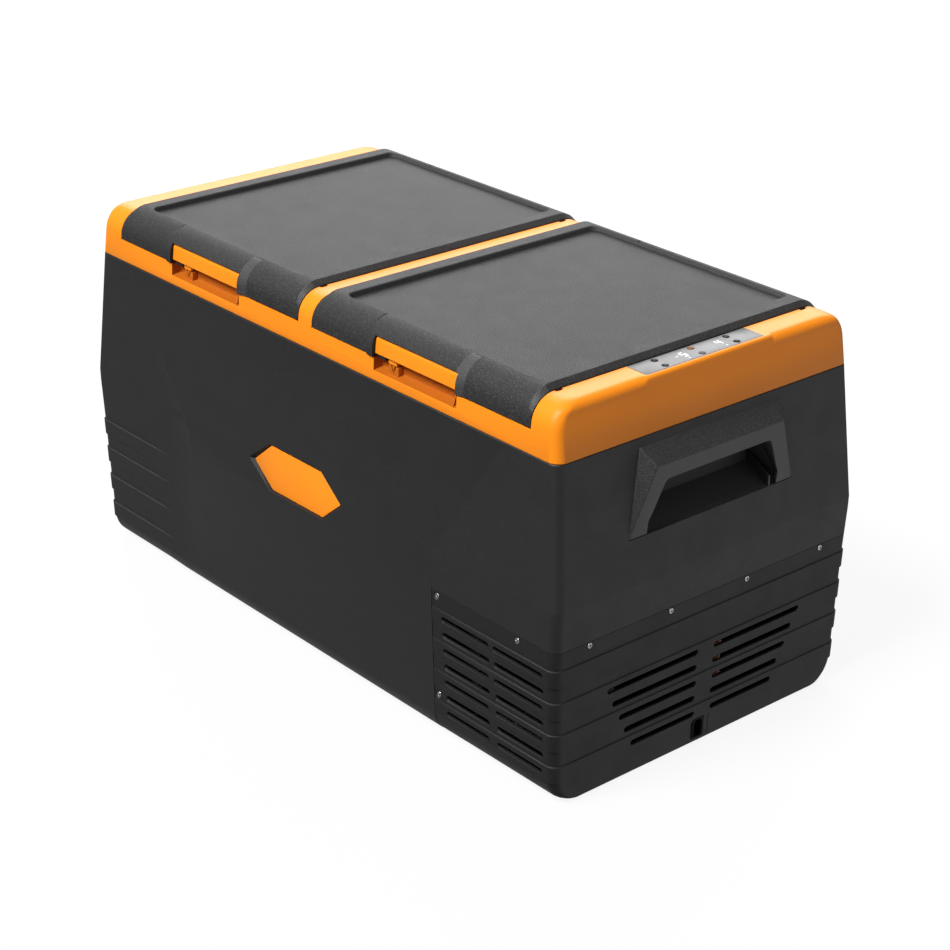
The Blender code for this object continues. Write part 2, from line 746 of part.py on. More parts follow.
def make_bay():
    spot = (318.0, -95.0)
    profile = [(24.8, 44.0), (30.0, 51.0), (84.0, 52.0), (84.0, 54.0), (89.0, 54.0), (89.0, 52.0),
               (128.0, 51.0), (142.0, 41.0), (150.0, 22.0)]
    piece("compressor", lathe(profile, "Z", spot, 24), "black", rough=0.3)
    plate = rounded((spot[0] - 72.0, spot[0] + 72.0), (spot[1] - 62.0, spot[1] + 62.0), 10.0)
    bracket = piece("compressor_bracket", prism(plate, "Z", 22.0, 24.5), "metal", metal=1.0)
    cut(bracket, joined([rod("Z", (spot[0] + a, spot[1] + b), 15.0, 30.0, 4.4, 12)
                         for a in (-60.0, 60.0) for b in (-50.0, 50.0)]))
    number = 0
    for a in (-60.0, 60.0):
        for b in (-50.0, 50.0):
            number += 1
            steps = [(5.6, 9.0), (12.0, 7.5), (21.7, 9.0), (21.7, 4.0), (27.5, 4.0)]
            shape = lathe(steps, "Z", (spot[0] + a, spot[1] + b), 12)
            piece(f"compressor_mount_{number}", shape, "black", rough=0.8)
    fins = [(240.0, 192.0), (390.0, 192.0)]
    for k in range(12, -1, -1):
        x = 240.0 + 12.375 * k
        fins += [(x + 1.5, 186.0)] if k < 12 else []
        fins += [(x + 1.5, 150.0), (x, 150.0)]
        fins += [(x, 186.0)] if k > 0 else []
    piece("condenser", prism(fins, "Z", 20.0, 165.0), "metal", metal=1.0, smooth=False)
    hub = (318.0, 90.0)
    frame = prism(rounded((258.0, 378.0), (30.0, 150.0), 6.0), "Y", 112.0, 137.0)
    shroud = piece("fan_shroud", frame, "black", rough=0.6)
    cut(shroud, rod("Y", hub, 100.0, 127.0, 56.0, 32))
    cut(shroud, joined([prism(sector(21.0, 54.0, start + 6.0, start + 84.0, hub), "Y", 126.0, 150.0)
                        for start in (0.0, 90.0, 180.0, 270.0)]))
    sections = [fan_ring(hub, turn, y) for turn, y in ((0.0, 114.0), (12.0, 119.0), (24.0, 124.5))]
    piece("fan_rotor", loft(sections), "black", origin=(hub[0], 119.0, hub[1]), rough=0.6)
    case = rounded((-180.0, -40.0), (60.0, 150.0), 4.0)
    piece("controller_box", prism(case, "X", 231.0, 258.0), "metal", metal=1.0)
    drier = [(48.0, 3.0), (56.0, 9.0), (134.0, 9.0), (142.0, 3.0)]
    piece("filter_drier", lathe(drier, "Z", (384.0, 45.0), 14), "copper", metal=1.0)
    hot = [(318.0, -42.0, 110.0), (318.0, -16.0, 110.0), (310.0, -8.0, 110.0),
           (254.0, -8.0, 110.0), (246.0, 0.0, 110.0), (246.0, 149.0, 110.0)]
    piece("discharge_tube", tube(hot, 3.2), "copper", metal=1.0)
    cold = [(371.5, -95.0, 104.0), (384.0, -95.0, 104.0), (392.0, -95.0, 112.0), (392.0, -95.0, 180.0)]
    piece("suction_tube", tube(cold, 4.2), "copper", metal=1.0)


def make_inlet():
    body = prism(rounded((-13.3, 4.0), (6.0, 30.0), 1.6), "X", 392.0, 413.9)
    inlet = piece("dc_inlet", body, "black", rough=0.4)
    cut(inlet, prism(rounded((-11.0, 1.0), (7.7, 28.0), 2.5), "X", 397.0, 430.0))
    add(inlet, rod("X", (-5.0, 22.6), 395.0, 408.0, 1.5, 12), rod("X", (-5.0, 13.0), 395.0, 408.0, 1.5, 12))


# ---------------------------------------------------------------- lids

def lid_section(x, drop, forward):
    """Outline of the lid across its width at one station."""
    outline = []
    for sign, shift in ((-1, forward), (1, 0.0)):
        arc = []
        for k in range(9):
            turn = math.radians(90.0 * k / 8)
            y = LID_Y + shift + LID_R * math.cos(turn)
            z = LID_Z + (LID_R - drop) * math.sin(turn)
            arc.append((x, sign * y, z))
        arc.insert(0, (x, sign * (LID_Y + shift + LID_R), FLAP_BOTTOM))
        outline += arc if sign < 0 else list(reversed(arc))
    return outline


def make_lid(side):
    low, high = SIDES[side]["lid"]
    grip = SIDES[side]["grip"]
    sections = [
        (low, LID_CHAMFER_Z, 0.0), (low + LID_CHAMFER_X, 0.0, 0.0),
        (grip[0], 0.0, 0.0), (grip[0] + GRIP_STEP, 0.0, GRIP_PROUD),
        (grip[1] - GRIP_CHAMFER, 0.0, GRIP_PROUD), (grip[1], 0.0, 0.0),
        (high - LID_CHAMFER_X, 0.0, 0.0), (high, LID_CHAMFER_Z, 0.0),
    ]
    pivot = ((low + high) / 2, *HINGE)
    shape = loft([lid_section(*s) for s in sections])
    lid = piece(f"lid_{side}", shape, "lid", origin=pivot, rough=0.55)
    barrel, left, right = hinge_spans(side)
    add(lid, rod("X", HINGE, *barrel, BARREL_R, 20))
    hollow = [(-204.1, 380.0), (-204.1, 411.0), (-202.3, 420.0), (-196.5, 430.0),
              (196.5, 430.0), (202.3, 420.0), (204.1, 411.0), (204.1, 409.8), (200.6, 409.8),
              (200.6, 380.0)]
    space = mesh_object(f"lid_space_{side}", prism(hollow, "X", low + 3.0, high - 3.0))
    cut(space, box(grip_span(side, 5.0), (-FAR, -191.5), (300.0, 431.0)))
    cut(lid, space)
    tray_end = 24.6
    tray = rounded((low + tray_end, high - tray_end + 0.4), (-TRAY_Y, TRAY_Y), 9.0, 4)
    cut(lid, prism(tray, "Z", TRAY_FLOOR, 500.0))
    cut(lid, box(grip_span(side, 0.7), (-FAR, -194.8), (380.0, 427.4)))
    latch_span = grip_span(side, 3.6)
    cut(lid, rod("X", LATCH, *latch_span, LATCH_PIN_R + 0.1))
    for span in (left, right):
        cut(lid, rod("X", HINGE, span[0] - 0.5, span[1] + 0.5, BARREL_R + 0.8, 20))
    cut(lid, rod("X", HINGE, low - 5.0, high + 5.0, HINGE_PIN_R + 0.1))
    piece(f"hinge_pin_{side}", rod("X", HINGE, left[0], right[1], HINGE_PIN_R), "metal", metal=1.0)
    piece(f"latch_pin_{side}", rod("X", LATCH, latch_span[0] + 0.3, latch_span[1] - 0.3, LATCH_PIN_R),
          "metal", metal=1.0)
    outline = [(-206.6, 407.9), (-205.2, 421.5)]
    for turn in (150, 120, 90, 60, 30, 0, -30):
        angle = math.radians(turn)
        outline.append((LATCH[0] + LATCH_R * math.cos(angle), LATCH[1] + LATCH_R * math.sin(angle)))
    outline += [(-199.5, 416.2), (-202.9, 414.5), (-203.6, 407.9)]
    ends = grip_span(side, 0.0)
    pivot = ((ends[0] + ends[1]) / 2, *LATCH)
    latch = piece(f"latch_{side}", prism(outline, "X", *ends), "orange", origin=pivot, rough=0.4)
    hook = ends[0] + CATCH_OFFSET + 1.5
    add(latch, prism([(-205.5, 409.0), (-203.9, 409.0), (-203.9, 402.0), (-200.4, 402.0), (-200.4, 417.5),
                      (-205.5, 417.5)], "X", hook, hook + CATCH_WIDTH - 3.0))
    cut(latch, rod("X", LATCH, ends[0] - 5.0, ends[1] + 5.0, LATCH_PIN_R + 0.1))
    make_lid_inside(side)


def make_lid_inside(side):
    low, high = SIDES[side]["lid"]
    inner = SIDES[side]["liner"]
    rings = []
    for x, y, radius, z in (
        ((low + 4.0, high - 4.0), (-190.6, 200.0), 6.0, 410.0),
        ((low + 4.0, high - 4.0), (-190.6, 200.0), 6.0, 407.0),
        ((inner[0] + 3.0, inner[1] - 3.0), (-167.0, 167.0), 12.0, 407.0),
        ((inner[0] + 6.0, inner[1] - 6.0), (-164.0, 164.0), 10.0, 398.0),
    ):
        rings.append([(a, b, z) for a, b in rounded(x, y, radius)])
    piece(f"lid_liner_{side}", loft(rings), "white")
    foam = box((low + 4.5, high - 4.5), (-190.6, 195.0), (410.5, 429.5))
    piece(f"lid_foam_{side}", foam, "foam", smooth=False)
    seal = band((inner[0] - 11.0, inner[1] + 11.0), (-182.0, 182.0), (403.7, 406.8), 8.0, 14.0)
    piece(f"lid_gasket_{side}", seal, "black", rough=0.8)


clear_scene()
make_shell()
make_cover()
make_screws()
make_handles()
make_badge()
make_frame()
make_controls()
make_liners()
make_foam()
make_evaporators()
make_bay()
make_inlet()
for lid_side in SIDES:
    make_lid(lid_side)
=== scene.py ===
"""Dual-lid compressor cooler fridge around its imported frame. Sizes are in millimetres."""

from math import cos, pi, radians, sin, sqrt, tan

import bmesh
import bpy
from mathutils import Matrix, Vector


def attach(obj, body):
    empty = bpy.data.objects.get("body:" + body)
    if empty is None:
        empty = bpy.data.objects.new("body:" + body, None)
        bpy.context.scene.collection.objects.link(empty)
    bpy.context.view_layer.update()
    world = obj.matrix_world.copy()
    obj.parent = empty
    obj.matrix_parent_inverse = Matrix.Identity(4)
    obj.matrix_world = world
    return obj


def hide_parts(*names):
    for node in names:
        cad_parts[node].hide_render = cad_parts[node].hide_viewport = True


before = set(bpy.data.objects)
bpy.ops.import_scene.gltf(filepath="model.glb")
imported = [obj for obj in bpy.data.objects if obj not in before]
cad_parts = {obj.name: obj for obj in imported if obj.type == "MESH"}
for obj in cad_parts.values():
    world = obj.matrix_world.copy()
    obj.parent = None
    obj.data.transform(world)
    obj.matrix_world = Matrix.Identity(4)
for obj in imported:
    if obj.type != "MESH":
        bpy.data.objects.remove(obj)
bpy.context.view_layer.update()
scene = bpy.context.scene

MM = 0.001
FAR = 600.0
FIT = 0.3
CORNERS = ((-1, -1), (1, -1), (1, 1), (-1, 1))

# Body
FOOT_HALF = (413.5, 211.7)
RIB_HALF = (416.0, 217.5)
BELT_HALF = (417.65, 217.6)
SEAM_HALF = (403.0, 208.9)
RIB_TOP = 159.9
COVER_TOP = 181.5
CREASE = 212.0
BELT = 226.0
SEAM = 378.5
RIB_PITCH = 37.6
RIB_HEIGHT = 18.8
RIB_DEPTH = 1.3
RIB_STEP = 0.8
RIB_EASE = 0.35
CORNER_R = 12.0
FRONT_FOOT_R = 30.0
END_FOOT_R = 3.0
PANEL_PROUD = 2.5
WALL = 3.0
BAY_X = 226.0
BAY_WALL = 4.0
COVER_FLOOR = 3.4
COVER_CUT = COVER_TOP - FIT - 0.15
SCREW_HOLE_R = 2.3
VENT_ROWS = 7
BADGE_CENTRE = (-7.5, 218.8)
BADGE_HALF = (79.0, 46.0, 27.0)
BADGE_MOUTH_CENTRE = (-7.8, 220.3)
BADGE_MOUTH_HALF = (85.3, 47.5, 29.2)

# Carry handles, half widths at foot and top, and the pockets behind them
HANDLE_HALF = (119.2, 100.5)
HANDLE_FOOT = 275.0
HANDLE_TOP = 368.5
HANDLE_NOSE = (421.5, 91.0, 350.5)
OPENING_HALF = (94.0, 73.0)
OPENING_SHOULDER = 290.0
OPENING_TOP = 330.5
OPENING_R = 7.0
POCKET_BACK = 378.0
POCKET_RIB_Y = (83.4, 85.6)

# Top frame
FRAME_END_SLOPE = 0.12
FRAME_SIDE_SLOPE = 0.055
ROLL_R = 28.6
ROLL_Z = 408.0
ROLL_Y = 178.6
END_ROLL = (387.0, 426.0, 10.6)
PANEL_ROLL = (392.5, 432.6, 4.0)
BENCH = 403.4
WELL_Y = 172.0
PANEL_Y = (-82.4, 84.8)
PANEL_X = (363.8, 392.0)
FASCIA_TOP = 436.9
PRINT_BASE = 436.85
KEY_PRINT = (437.35, 437.46)
SIDES = {
    "left": {"lid": (-357.2, -10.6), "liner": (-341.0, -29.0), "grip": (-259.0, -106.0),
             "latch": (-250.5, -120.3)},
    "right": {"lid": (14.8, 362.5), "liner": (33.0, 347.0), "grip": (111.4, 263.3),
              "latch": (122.0, 252.3)},
}
CATCH_OFFSET = 17.5
CATCH_WIDTH = 16.0

# Lids
FLAP_BOTTOM = 404.4
LID_R = 32.0
LID_Y = 175.3
LID_Z = 410.8
LID_CHAMFER_X = 6.2
LID_CHAMFER_Z = 5.5
TRAY_FLOOR = 436.8
TRAY_Y = 180.0
GRIP_PROUD = 3.0
GRIP_STEP = 0.6
GRIP_CHAMFER = 13.0
HINGE = (208.0, 404.0)
BARREL_R = 5.5
BARREL_GAP = 0.8
HINGE_PIN_R = 2.0
PIN_GAP = 0.1
LATCH = (-200.3, 421.5)
LATCH_R = 5.0
LATCH_PIN_R = 1.6

BUTTONS = {
    "button_power": (369.8, 0.9),
    "button_left_up": (369.8, -50.0),
    "button_left_down": (385.7, -50.6),
    "button_right_up": (369.8, 52.1),
    "button_right_down": (385.7, 51.4),
    "button_set": (385.7, 1.5),
}


# ---- Materials

def tune(node, values):
    for name, value in values.items():
        node.inputs[name].default_value = value
    return node


def node_of(tree, kind, values=(), **settings):
    node = tree.nodes.new(kind)
    for name, value in settings.items():
        setattr(node, name, value)
    return tune(node, dict(values))


def ranged(tree, source, low, high, from_low=0.3, from_high=0.7, kind="LINEAR"):
    node = node_of(tree, "ShaderNodeMapRange", {"From Min": from_low, "From Max": from_high, "To Min": low,
                                                "To Max": high}, interpolation_type=kind)
    tree.links.new(source, node.inputs["Value"])
    return node.outputs["Result"]


def surface(name, colour, rough, grain=900.0, depth=0.05, vary=0.08, wear_and_highlight=0.25, metal=0.0, bevel=0.7,
            rough_vary=0.08, specular=0.5, coat=0.0, brushed=None, emit=0.0, fleck=0.0):
    """Moulded or drawn surface: tinted patches, grain, light flecks, rounded edges, and lighter edges that
    are partly wear and partly a painted highlight.
    """
    material = bpy.data.materials.new(name)
    material.use_nodes = True
    tree = material.node_tree
    links = tree.links
    shader = tune(tree.nodes["Principled BSDF"], {"Metallic": metal, "Specular IOR Level": specular,
                                                  "Coat Weight": coat})

    def noise(scale, detail, stretch=None):
        source = node_of(tree, "ShaderNodeTexCoord").outputs["Object"]
        if stretch:
            mapping = node_of(tree, "ShaderNodeMapping", {"Scale": stretch})
            links.new(source, mapping.inputs["Vector"])
            source = mapping.outputs["Vector"]
        texture = node_of(tree, "ShaderNodeTexNoise", {"Scale": scale, "Detail": detail})
        links.new(source, texture.inputs["Vector"])
        return texture.outputs["Fac"]

    def shade(scale, lift=0.0):
        return tuple(min(1.0, c * scale + lift) for c in colour)

    def blend(factor, first, second):
        mixer = node_of(tree, "ShaderNodeMix", data_type="RGBA")
        links.new(factor, mixer.inputs["Factor"])
        for socket, value in (("A", first), ("B", second)):
            target = [s for s in mixer.inputs if s.name == socket and s.type == "RGBA"][0]
            if isinstance(value, tuple):
                target.default_value = (*value, 1.0)
            else:
                links.new(value, target)
        return [s for s in mixer.outputs if s.type == "RGBA"][0]

    def bump(height, strength, distance, normal):
        node = node_of(tree, "ShaderNodeBump", {"Strength": strength, "Distance": distance * MM})
        links.new(height, node.inputs["Height"])
        links.new(normal, node.inputs["Normal"])
        return node.outputs["Normal"]

    tint = blend(ranged(tree, noise(7.0, 4.0), 0.0, 1.0), shade(1.0 - vary), shade(1.0 + vary))
    speck = ranged(tree, noise(grain * 1.7, 2.0), 0.0, 0.35)
    tint = blend(speck, tint, shade((1.0 - vary) * 0.85))
    if fleck:
        tint = blend(ranged(tree, noise(760.0, 1.0), 0.0, fleck, 0.52, 0.70), tint, shade(1.8, 0.033))

    rounded_edge = node_of(tree, "ShaderNodeBevel", {"Radius": bevel * MM}, samples=4).outputs["Normal"]
    agree = node_of(tree, "ShaderNodeVectorMath", operation="DOT_PRODUCT")
    links.new(rounded_edge, agree.inputs[0])
    links.new(node_of(tree, "ShaderNodeNewGeometry").outputs["Normal"], agree.inputs[1])
    patchy = node_of(tree, "ShaderNodeMath", operation="MULTIPLY")
    links.new(ranged(tree, agree.outputs["Value"], 1.0, 0.0, 0.80, 0.99), patchy.inputs[0])
    links.new(ranged(tree, noise(60.0, 3.0), 0.15, 1.0), patchy.inputs[1])
    edge_wear_and_highlight = node_of(tree, "ShaderNodeMath", {1: wear_and_highlight}, operation="MULTIPLY")
    links.new(patchy.outputs["Value"], edge_wear_and_highlight.inputs[0])
    # Lighter, patchy colour along the edges: partly rubbed wear, partly a painted highlight on the rounded
    # edges.
    tint = blend(edge_wear_and_highlight.outputs["Value"], tint, shade(1.5, 0.02))
    links.new(tint, shader.inputs["Base Color"])

    gloss = ranged(tree, noise(35.0, 5.0), rough - rough_vary, rough + rough_vary)
    links.new(gloss, shader.inputs["Roughness"])
    grained = bump(noise(grain, 3.0, brushed), 1.0, depth, rounded_edge)
    links.new(bump(noise(22.0, 1.0), 0.5, 0.03, grained), shader.inputs["Normal"])
    if emit:
        tune(shader, {"Emission Color": (*colour, 1.0), "Emission Strength": emit})
    return material


ORANGE = (0.92, 0.262, 0.010)
DARK = (0.0050, 0.0050, 0.0052)

LOOKS = {
    "body": surface("body_plastic", DARK, 0.60, 900.0, 0.22, 0.10, 0.4, specular=0.62, rough_vary=0.03,
        fleck=0.15),
    "rib": surface("rib_plastic", DARK, 0.60, 900.0, 0.12, 0.10, 0.3, bevel=0.15, specular=0.45,
        rough_vary=0.03, fleck=0.12),
    "handle": surface("handle_plastic", (0.007, 0.007, 0.0073), 0.64, 800.0, 0.5, 0.12, 0.0, bevel=3.0,
        specular=0.80, rough_vary=0.04, fleck=0.9),
    "grip": surface("handle_front", (0.016, 0.016, 0.0164), 0.58, 1400.0, 0.10, 0.08, 0.0, bevel=0.6,
        specular=1.0, rough_vary=0.02),
    # Body plastic painted far lighter inside the handle pockets: painted fill light in place of the shade
    # that falls there.
    "pocket": surface("handle_pocket", (0.052, 0.052, 0.053), 0.70, 1200.0, 0.10, 0.08, 0.0, bevel=0.6,
        specular=0.25, rough_vary=0.02),
    "orange": surface("frame_plastic", ORANGE, 0.40, 1300.0, 0.04, 0.02, 0.06, bevel=0.8, rough_vary=0.02,
        specular=0.20),
    # Half-bright copy of the frame orange: painted shade in the latch recess under the paddle and lid.
    "recess": surface("frame_recess_painted_shade", (0.46, 0.112, 0.005), 0.62, 700.0, 0.25, 0.05, 0.0, bevel=0.6,
        rough_vary=0.03, specular=0.20),
    "badge": surface("badge_plate", ORANGE, 0.34, 1800.0, 0.010, 0.02, 0.10, bevel=0.5, rough_vary=0.02,
        specular=0.35),
    "lid": surface("lid_plastic", (0.012, 0.012, 0.0125), 0.66, 950.0, 0.65, 0.08, 0.10, bevel=0.5,
        rough_vary=0.02, specular=0.41, fleck=0.8),
    # Lid plastic painted lighter, with more sheen, on the chamfer facets that face the right end: a painted
    # highlight for the light they catch.
    "painted_highlight_facet": surface("lid_facet_painted_highlight", (0.027, 0.027, 0.0275), 0.62, 700.0, 0.60, 0.10, 0.0, bevel=0.4,
        rough_vary=0.03, specular=0.55, fleck=0.6),
    # Lid plastic painted about four times lighter on the tray walls: painted light standing in for the light
    # those walls get.
    "painted_light_tray_wall": surface("lid_tray_wall_painted_light", (0.048, 0.048, 0.049), 0.64, 900.0, 0.40, 0.08, 0.0, bevel=0.4,
        rough_vary=0.03, specular=0.60, fleck=0.5),
    "panel": surface("panel_film", (0.105, 0.105, 0.107), 0.34, 2200.0, 0.008, 0.03, 0.1, bevel=0.5,
        rough_vary=0.03, specular=0.22),
    "line": surface("panel_line", (0.26, 0.26, 0.265), 0.5, 2000.0, 0.01, 0.05, 0.0, bevel=0.2,
        specular=0.2),
    "black": surface("black_plastic", (0.008, 0.008, 0.0085), 0.55, 1500.0, 0.03, 0.10, 0.0, bevel=0.1,
        specular=0.06),
    "set_key": surface("set_key", (0.035, 0.035, 0.036), 0.45, 1500.0, 0.02, 0.08, 0.2, specular=0.2),
    "power_key": surface("power_key", (0.20, 0.072, 0.010), 0.60, 1500.0, 0.02, 0.08, 0.0, bevel=0.1,
        specular=0.02),
    "legend": surface("legend_print", (0.10, 0.10, 0.104), 0.5, 2500.0, 0.005, 0.05, 0.0, bevel=0.1,
        specular=0.2),
    "digit": surface("digit_light", (1.0, 1.0, 1.0), 0.5, 2500.0, 0.004, 0.03, 0.0, bevel=0.1, emit=1.0),
    "white": surface("liner_plastic", (0.66, 0.67, 0.67), 0.33, 700.0, 0.03, 0.03, 0.15, bevel=1.5,
        rough_vary=0.04),
    "foam": surface("foam", (0.74, 0.66, 0.42), 0.9, 420.0, 0.25, 0.10, 0.1, bevel=1.5),
    "rubber": surface("seal_rubber", (0.018, 0.018, 0.018), 0.72, 700.0, 0.04, 0.12, 0.2),
    "steel": surface("zinc_steel", (0.58, 0.58, 0.57), 0.30, 1600.0, 0.015, 0.08, 0.2, metal=1.0, bevel=0.4,
        brushed=(1.0, 0.15, 1.0)),
    "sheet": surface("galvanised", (0.52, 0.53, 0.54), 0.38, 160.0, 0.03, 0.15, 0.2, metal=1.0),
    "aluminium": surface("aluminium", (0.68, 0.69, 0.70), 0.34, 1500.0, 0.02, 0.06, 0.15, metal=1.0,
        brushed=(1.0, 1.0, 0.05)),
    "enamel": surface("black_enamel", (0.011, 0.011, 0.012), 0.24, 250.0, 0.04, 0.10, 0.2, coat=0.4),
    "board": surface("solder_mask", (0.022, 0.13, 0.05), 0.35, 900.0, 0.03, 0.20, 0.1),
    "copper": surface("copper", (0.72, 0.33, 0.19), 0.30, 500.0, 0.02, 0.12, 0.2, metal=1.0),
    "brass": surface("brass", (0.75, 0.55, 0.25), 0.28, 1500.0, 0.01, 0.08, 0.2, metal=1.0, bevel=0.3),
    "lens": surface("lamp_lens", (0.82, 0.83, 0.83), 0.25, 900.0, 0.02, 0.03, 0.1, emit=0.25),
}


# ---- Shapes

def box(x, y, z):
    points = [(a, b, c) for c in z for b in y for a in x]
    faces = [(0, 2, 3, 1), (4, 5, 7, 6), (0, 1, 5, 4), (1, 3, 7, 5), (3, 2, 6, 7), (2, 0, 4, 6)]
    return points, faces


def loft(rings, closed=False):
    """Skin through rings of equal length, capped at both ends or closed on itself."""
    count = len(rings[0])
    points = [p for ring in rings for p in ring]
    faces = []
    for i in range(len(rings) if closed else len(rings) - 1):
        low = i * count
        high = ((i + 1) % len(rings)) * count
        faces += [(low + k, low + (k + 1) % count, high + (k + 1) % count, high + k) for k in range(count)]
    if not closed:
        faces.append(tuple(reversed(range(count))))
        faces.append(tuple(range(len(points) - count, len(points))))
    return points, faces


def place(axis, a, b, along):
    return {"X": (along, a, b), "Y": (a, along, b), "Z": (a, b, along)}[axis]


def stack(axis, *layers):
    """Loft through (outline, position along the axis) pairs."""
    return loft([[place(axis, a, b, t) for a, b in outline] for outline, t in layers])


def prism(outline, axis, low, high):
    return stack(axis, (outline, low), (outline, high))


def lathe(profile, axis, centre, count=32):
    """Round solid from (position along the axis, radius) pairs."""
    turns = [2 * pi * (k + 0.5) / count for k in range(count)]
    return loft([[place(axis, centre[0] + r * cos(t), centre[1] + r * sin(t), along) for t in turns]
                 for along, r in profile])


def rod(axis, centre, low, high, radius, count=32):
    return lathe([(low, radius), (high, radius)], axis, centre, count)


def arc(centre, radius, start, sweep, count):
    turns = [radians(start + sweep * k / count) for k in range(count + 1)]
    return [(centre[0] + radius * cos(turn), centre[1] + radius * sin(turn)) for turn in turns]


def rounded(x, y, radius, count=6):
    """Rectangle outline with rounded corners."""
    outline = []
    for cx, cy, start in ((x[1], y[0], 270), (x[1], y[1], 0), (x[0], y[1], 90), (x[0], y[0], 180)):
        inner_x = cx - radius if cx == x[1] else cx + radius
        inner_y = cy - radius if cy == y[1] else cy + radius
        outline += arc((inner_x, inner_y), radius, start, 90.0, count)
    return outline


def softened(corners, radii, count=5):
    """Outline with each corner rounded by its own radius."""
    outline = []
    total = len(corners)
    for i, corner_point in enumerate(corners):
        here = Vector(corner_point)
        back = Vector(corners[i - 1]) - here
        ahead = Vector(corners[(i + 1) % total]) - here
        radius = radii[i] if isinstance(radii, (list, tuple)) else radii
        if radius <= 0.0:
            outline.append(tuple(here))
            continue
        angle = back.angle(ahead)
        reach = min(radius / tan(angle / 2), back.length * 0.49, ahead.length * 0.49)
        radius = reach * tan(angle / 2)
        middle = (back.normalized() + ahead.normalized()).normalized()
        centre = here + middle * (radius / sin(angle / 2))
        first = here + back.normalized() * reach - centre
        last = here + ahead.normalized() * reach - centre
        turn = first.angle_signed(last)
        for k in range(count + 1):
            a = -turn * k / count
            outline.append((centre.x + first.x * cos(a) - first.y * sin(a),
                            centre.y + first.x * sin(a) + first.y * cos(a)))
    return outline


def slot(x, z, half_height, count=6):
    right = arc((x[1] - half_height, z), half_height, -90.0, 180.0, count)
    return right + arc((x[0] + half_height, z), half_height, 90.0, 180.0, count)


def joined(shapes):
    points, faces = [], []
    for more_points, more_faces in shapes:
        base = len(points)
        points += more_points
        faces += [tuple(base + i for i in face) for face in more_faces]
    return points, faces


def band(x, y, z, thickness, radius):
    """Flat strip wrapped once around a rectangle."""
    outer = rounded(x, y, radius)
    inner = rounded((x[0] + thickness, x[1] - thickness), (y[0] + thickness, y[1] - thickness),
                    radius - thickness)
    rings = [(outer, z[0]), (outer, z[1]), (inner, z[1]), (inner, z[0])]
    return loft([[(a, b, c) for a, b in outline] for outline, c in rings], closed=True)


# ---- Objects

def solid(name, shape, bevel=0.0, segments=2):
    """Mesh object from a shape in millimetres; a shape with no faces becomes its convex hull."""
    work = bmesh.new()
    corners = [work.verts.new(p) for p in shape[0]]
    if shape[1] is None:
        bmesh.ops.convex_hull(work, input=corners)
        bmesh.ops.dissolve_limit(work, angle_limit=radians(2), verts=work.verts, edges=work.edges)
    else:
        for face in shape[1]:
            work.faces.new([corners[i] for i in face])
    if bevel:
        bmesh.ops.bevel(work, geom=list(work.edges), offset=bevel, segments=segments, profile=0.5,
                        affect="EDGES", clamp_overlap=True)
    bmesh.ops.triangulate(work, faces=[face for face in work.faces if len(face.verts) == 4])
    bmesh.ops.recalc_face_normals(work, faces=work.faces)
    for vert in work.verts:
        vert.co = vert.co * MM
    mesh = bpy.data.meshes.new(name)
    work.to_mesh(mesh)
    work.free()
    item = bpy.data.objects.new(name, mesh)
    scene.collection.objects.link(item)
    return item


def combine(item, tool, operation="DIFFERENCE"):
    if isinstance(tool, tuple):
        tool = solid(f"{item.name}.tool{len(item.modifiers)}", tool)
    tool.hide_render = True
    step = item.modifiers.new(f"step{len(item.modifiers)}", "BOOLEAN")
    step.operation = operation
    step.solver = "EXACT"
    step.object = tool
    return item


def cut(item, *tools):
    for tool in tools:
        combine(item, tool)
    return item


def add(item, *tools):
    for tool in tools:
        combine(item, tool, "UNION")
    return item


def remove_tools(item):
    for step in item.modifiers:
        if step.type == "BOOLEAN" and step.object:
            remove_tools(step.object)
            bpy.data.objects.remove(step.object, do_unlink=True)


def finished(item, look, body, replaces=(), smooth=32.0):
    """Fixes the Booleans into the mesh, then gives the piece its material, body and CAD node."""
    bpy.context.view_layer.update()
    depsgraph = bpy.context.evaluated_depsgraph_get()
    mesh = bpy.data.meshes.new_from_object(item.evaluated_get(depsgraph))
    remove_tools(item)
    item.modifiers.clear()
    item.data = mesh
    mesh.materials.clear()
    mesh.materials.append(LOOKS[look])
    mesh.shade_smooth()
    mesh.set_sharp_from_angle(angle=radians(smooth))
    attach(item, body)
    if replaces:
        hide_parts(*replaces)
    return item


def paint(item, look, chosen):
    """Adds a material for the faces that pass a test of the face and its corners in millimetres."""
    item.data.materials.append(LOOKS[look])
    corners = [vertex.co / MM for vertex in item.data.vertices]
    for face in item.data.polygons:
        if chosen(face, [corners[k] for k in face.vertices]):
            face.material_index = len(item.data.materials) - 1


# ---- Body surface

def mix(a, b, t):
    return a + (b - a) * t


def rolled(radius, above):
    """Reach of a rounded edge at a height above or below its centre."""
    return sqrt(max(radius ** 2 - above ** 2, 0.0))


def body_half(z):
    """Half length and half width of the body without its ribs."""
    steps = [(0.0, FOOT_HALF), (RIB_TOP, RIB_HALF), (BELT, BELT_HALF), (SEAM, SEAM_HALF)]
    low, high = steps[0], steps[1]
    for first, second in zip(steps, steps[1:]):
        if z >= first[0]:
            low, high = first, second
    t = (z - low[0]) / (high[0] - low[0])
    return mix(low[1][0], high[1][0], t), mix(low[1][1], high[1][1], t)


def rib_ledges():
    return [RIB_TOP - RIB_PITCH * k for k in (3, 2, 1, 0)]


def rib_recess(z):
    """Setback of the wall from the rib faces: eased at each ledge, fading out above the ribs."""
    if z > RIB_TOP + RIB_STEP:
        return max(0.0, RIB_DEPTH * (CREASE - z) / (CREASE - RIB_TOP - RIB_STEP))
    for ledge in rib_ledges():
        base = ledge - RIB_HEIGHT
        if base - RIB_STEP < z < ledge + RIB_STEP:
            over = max(0.0, z - ledge, base - z) / RIB_STEP
            near = RIB_EASE
            if base <= z <= ledge:
                near = max(0.0, RIB_EASE - (ledge - z), RIB_EASE - (z - base))
            return RIB_DEPTH * min(1.0, over + near * RIB_EASE * (1.0 - over))
    return RIB_DEPTH


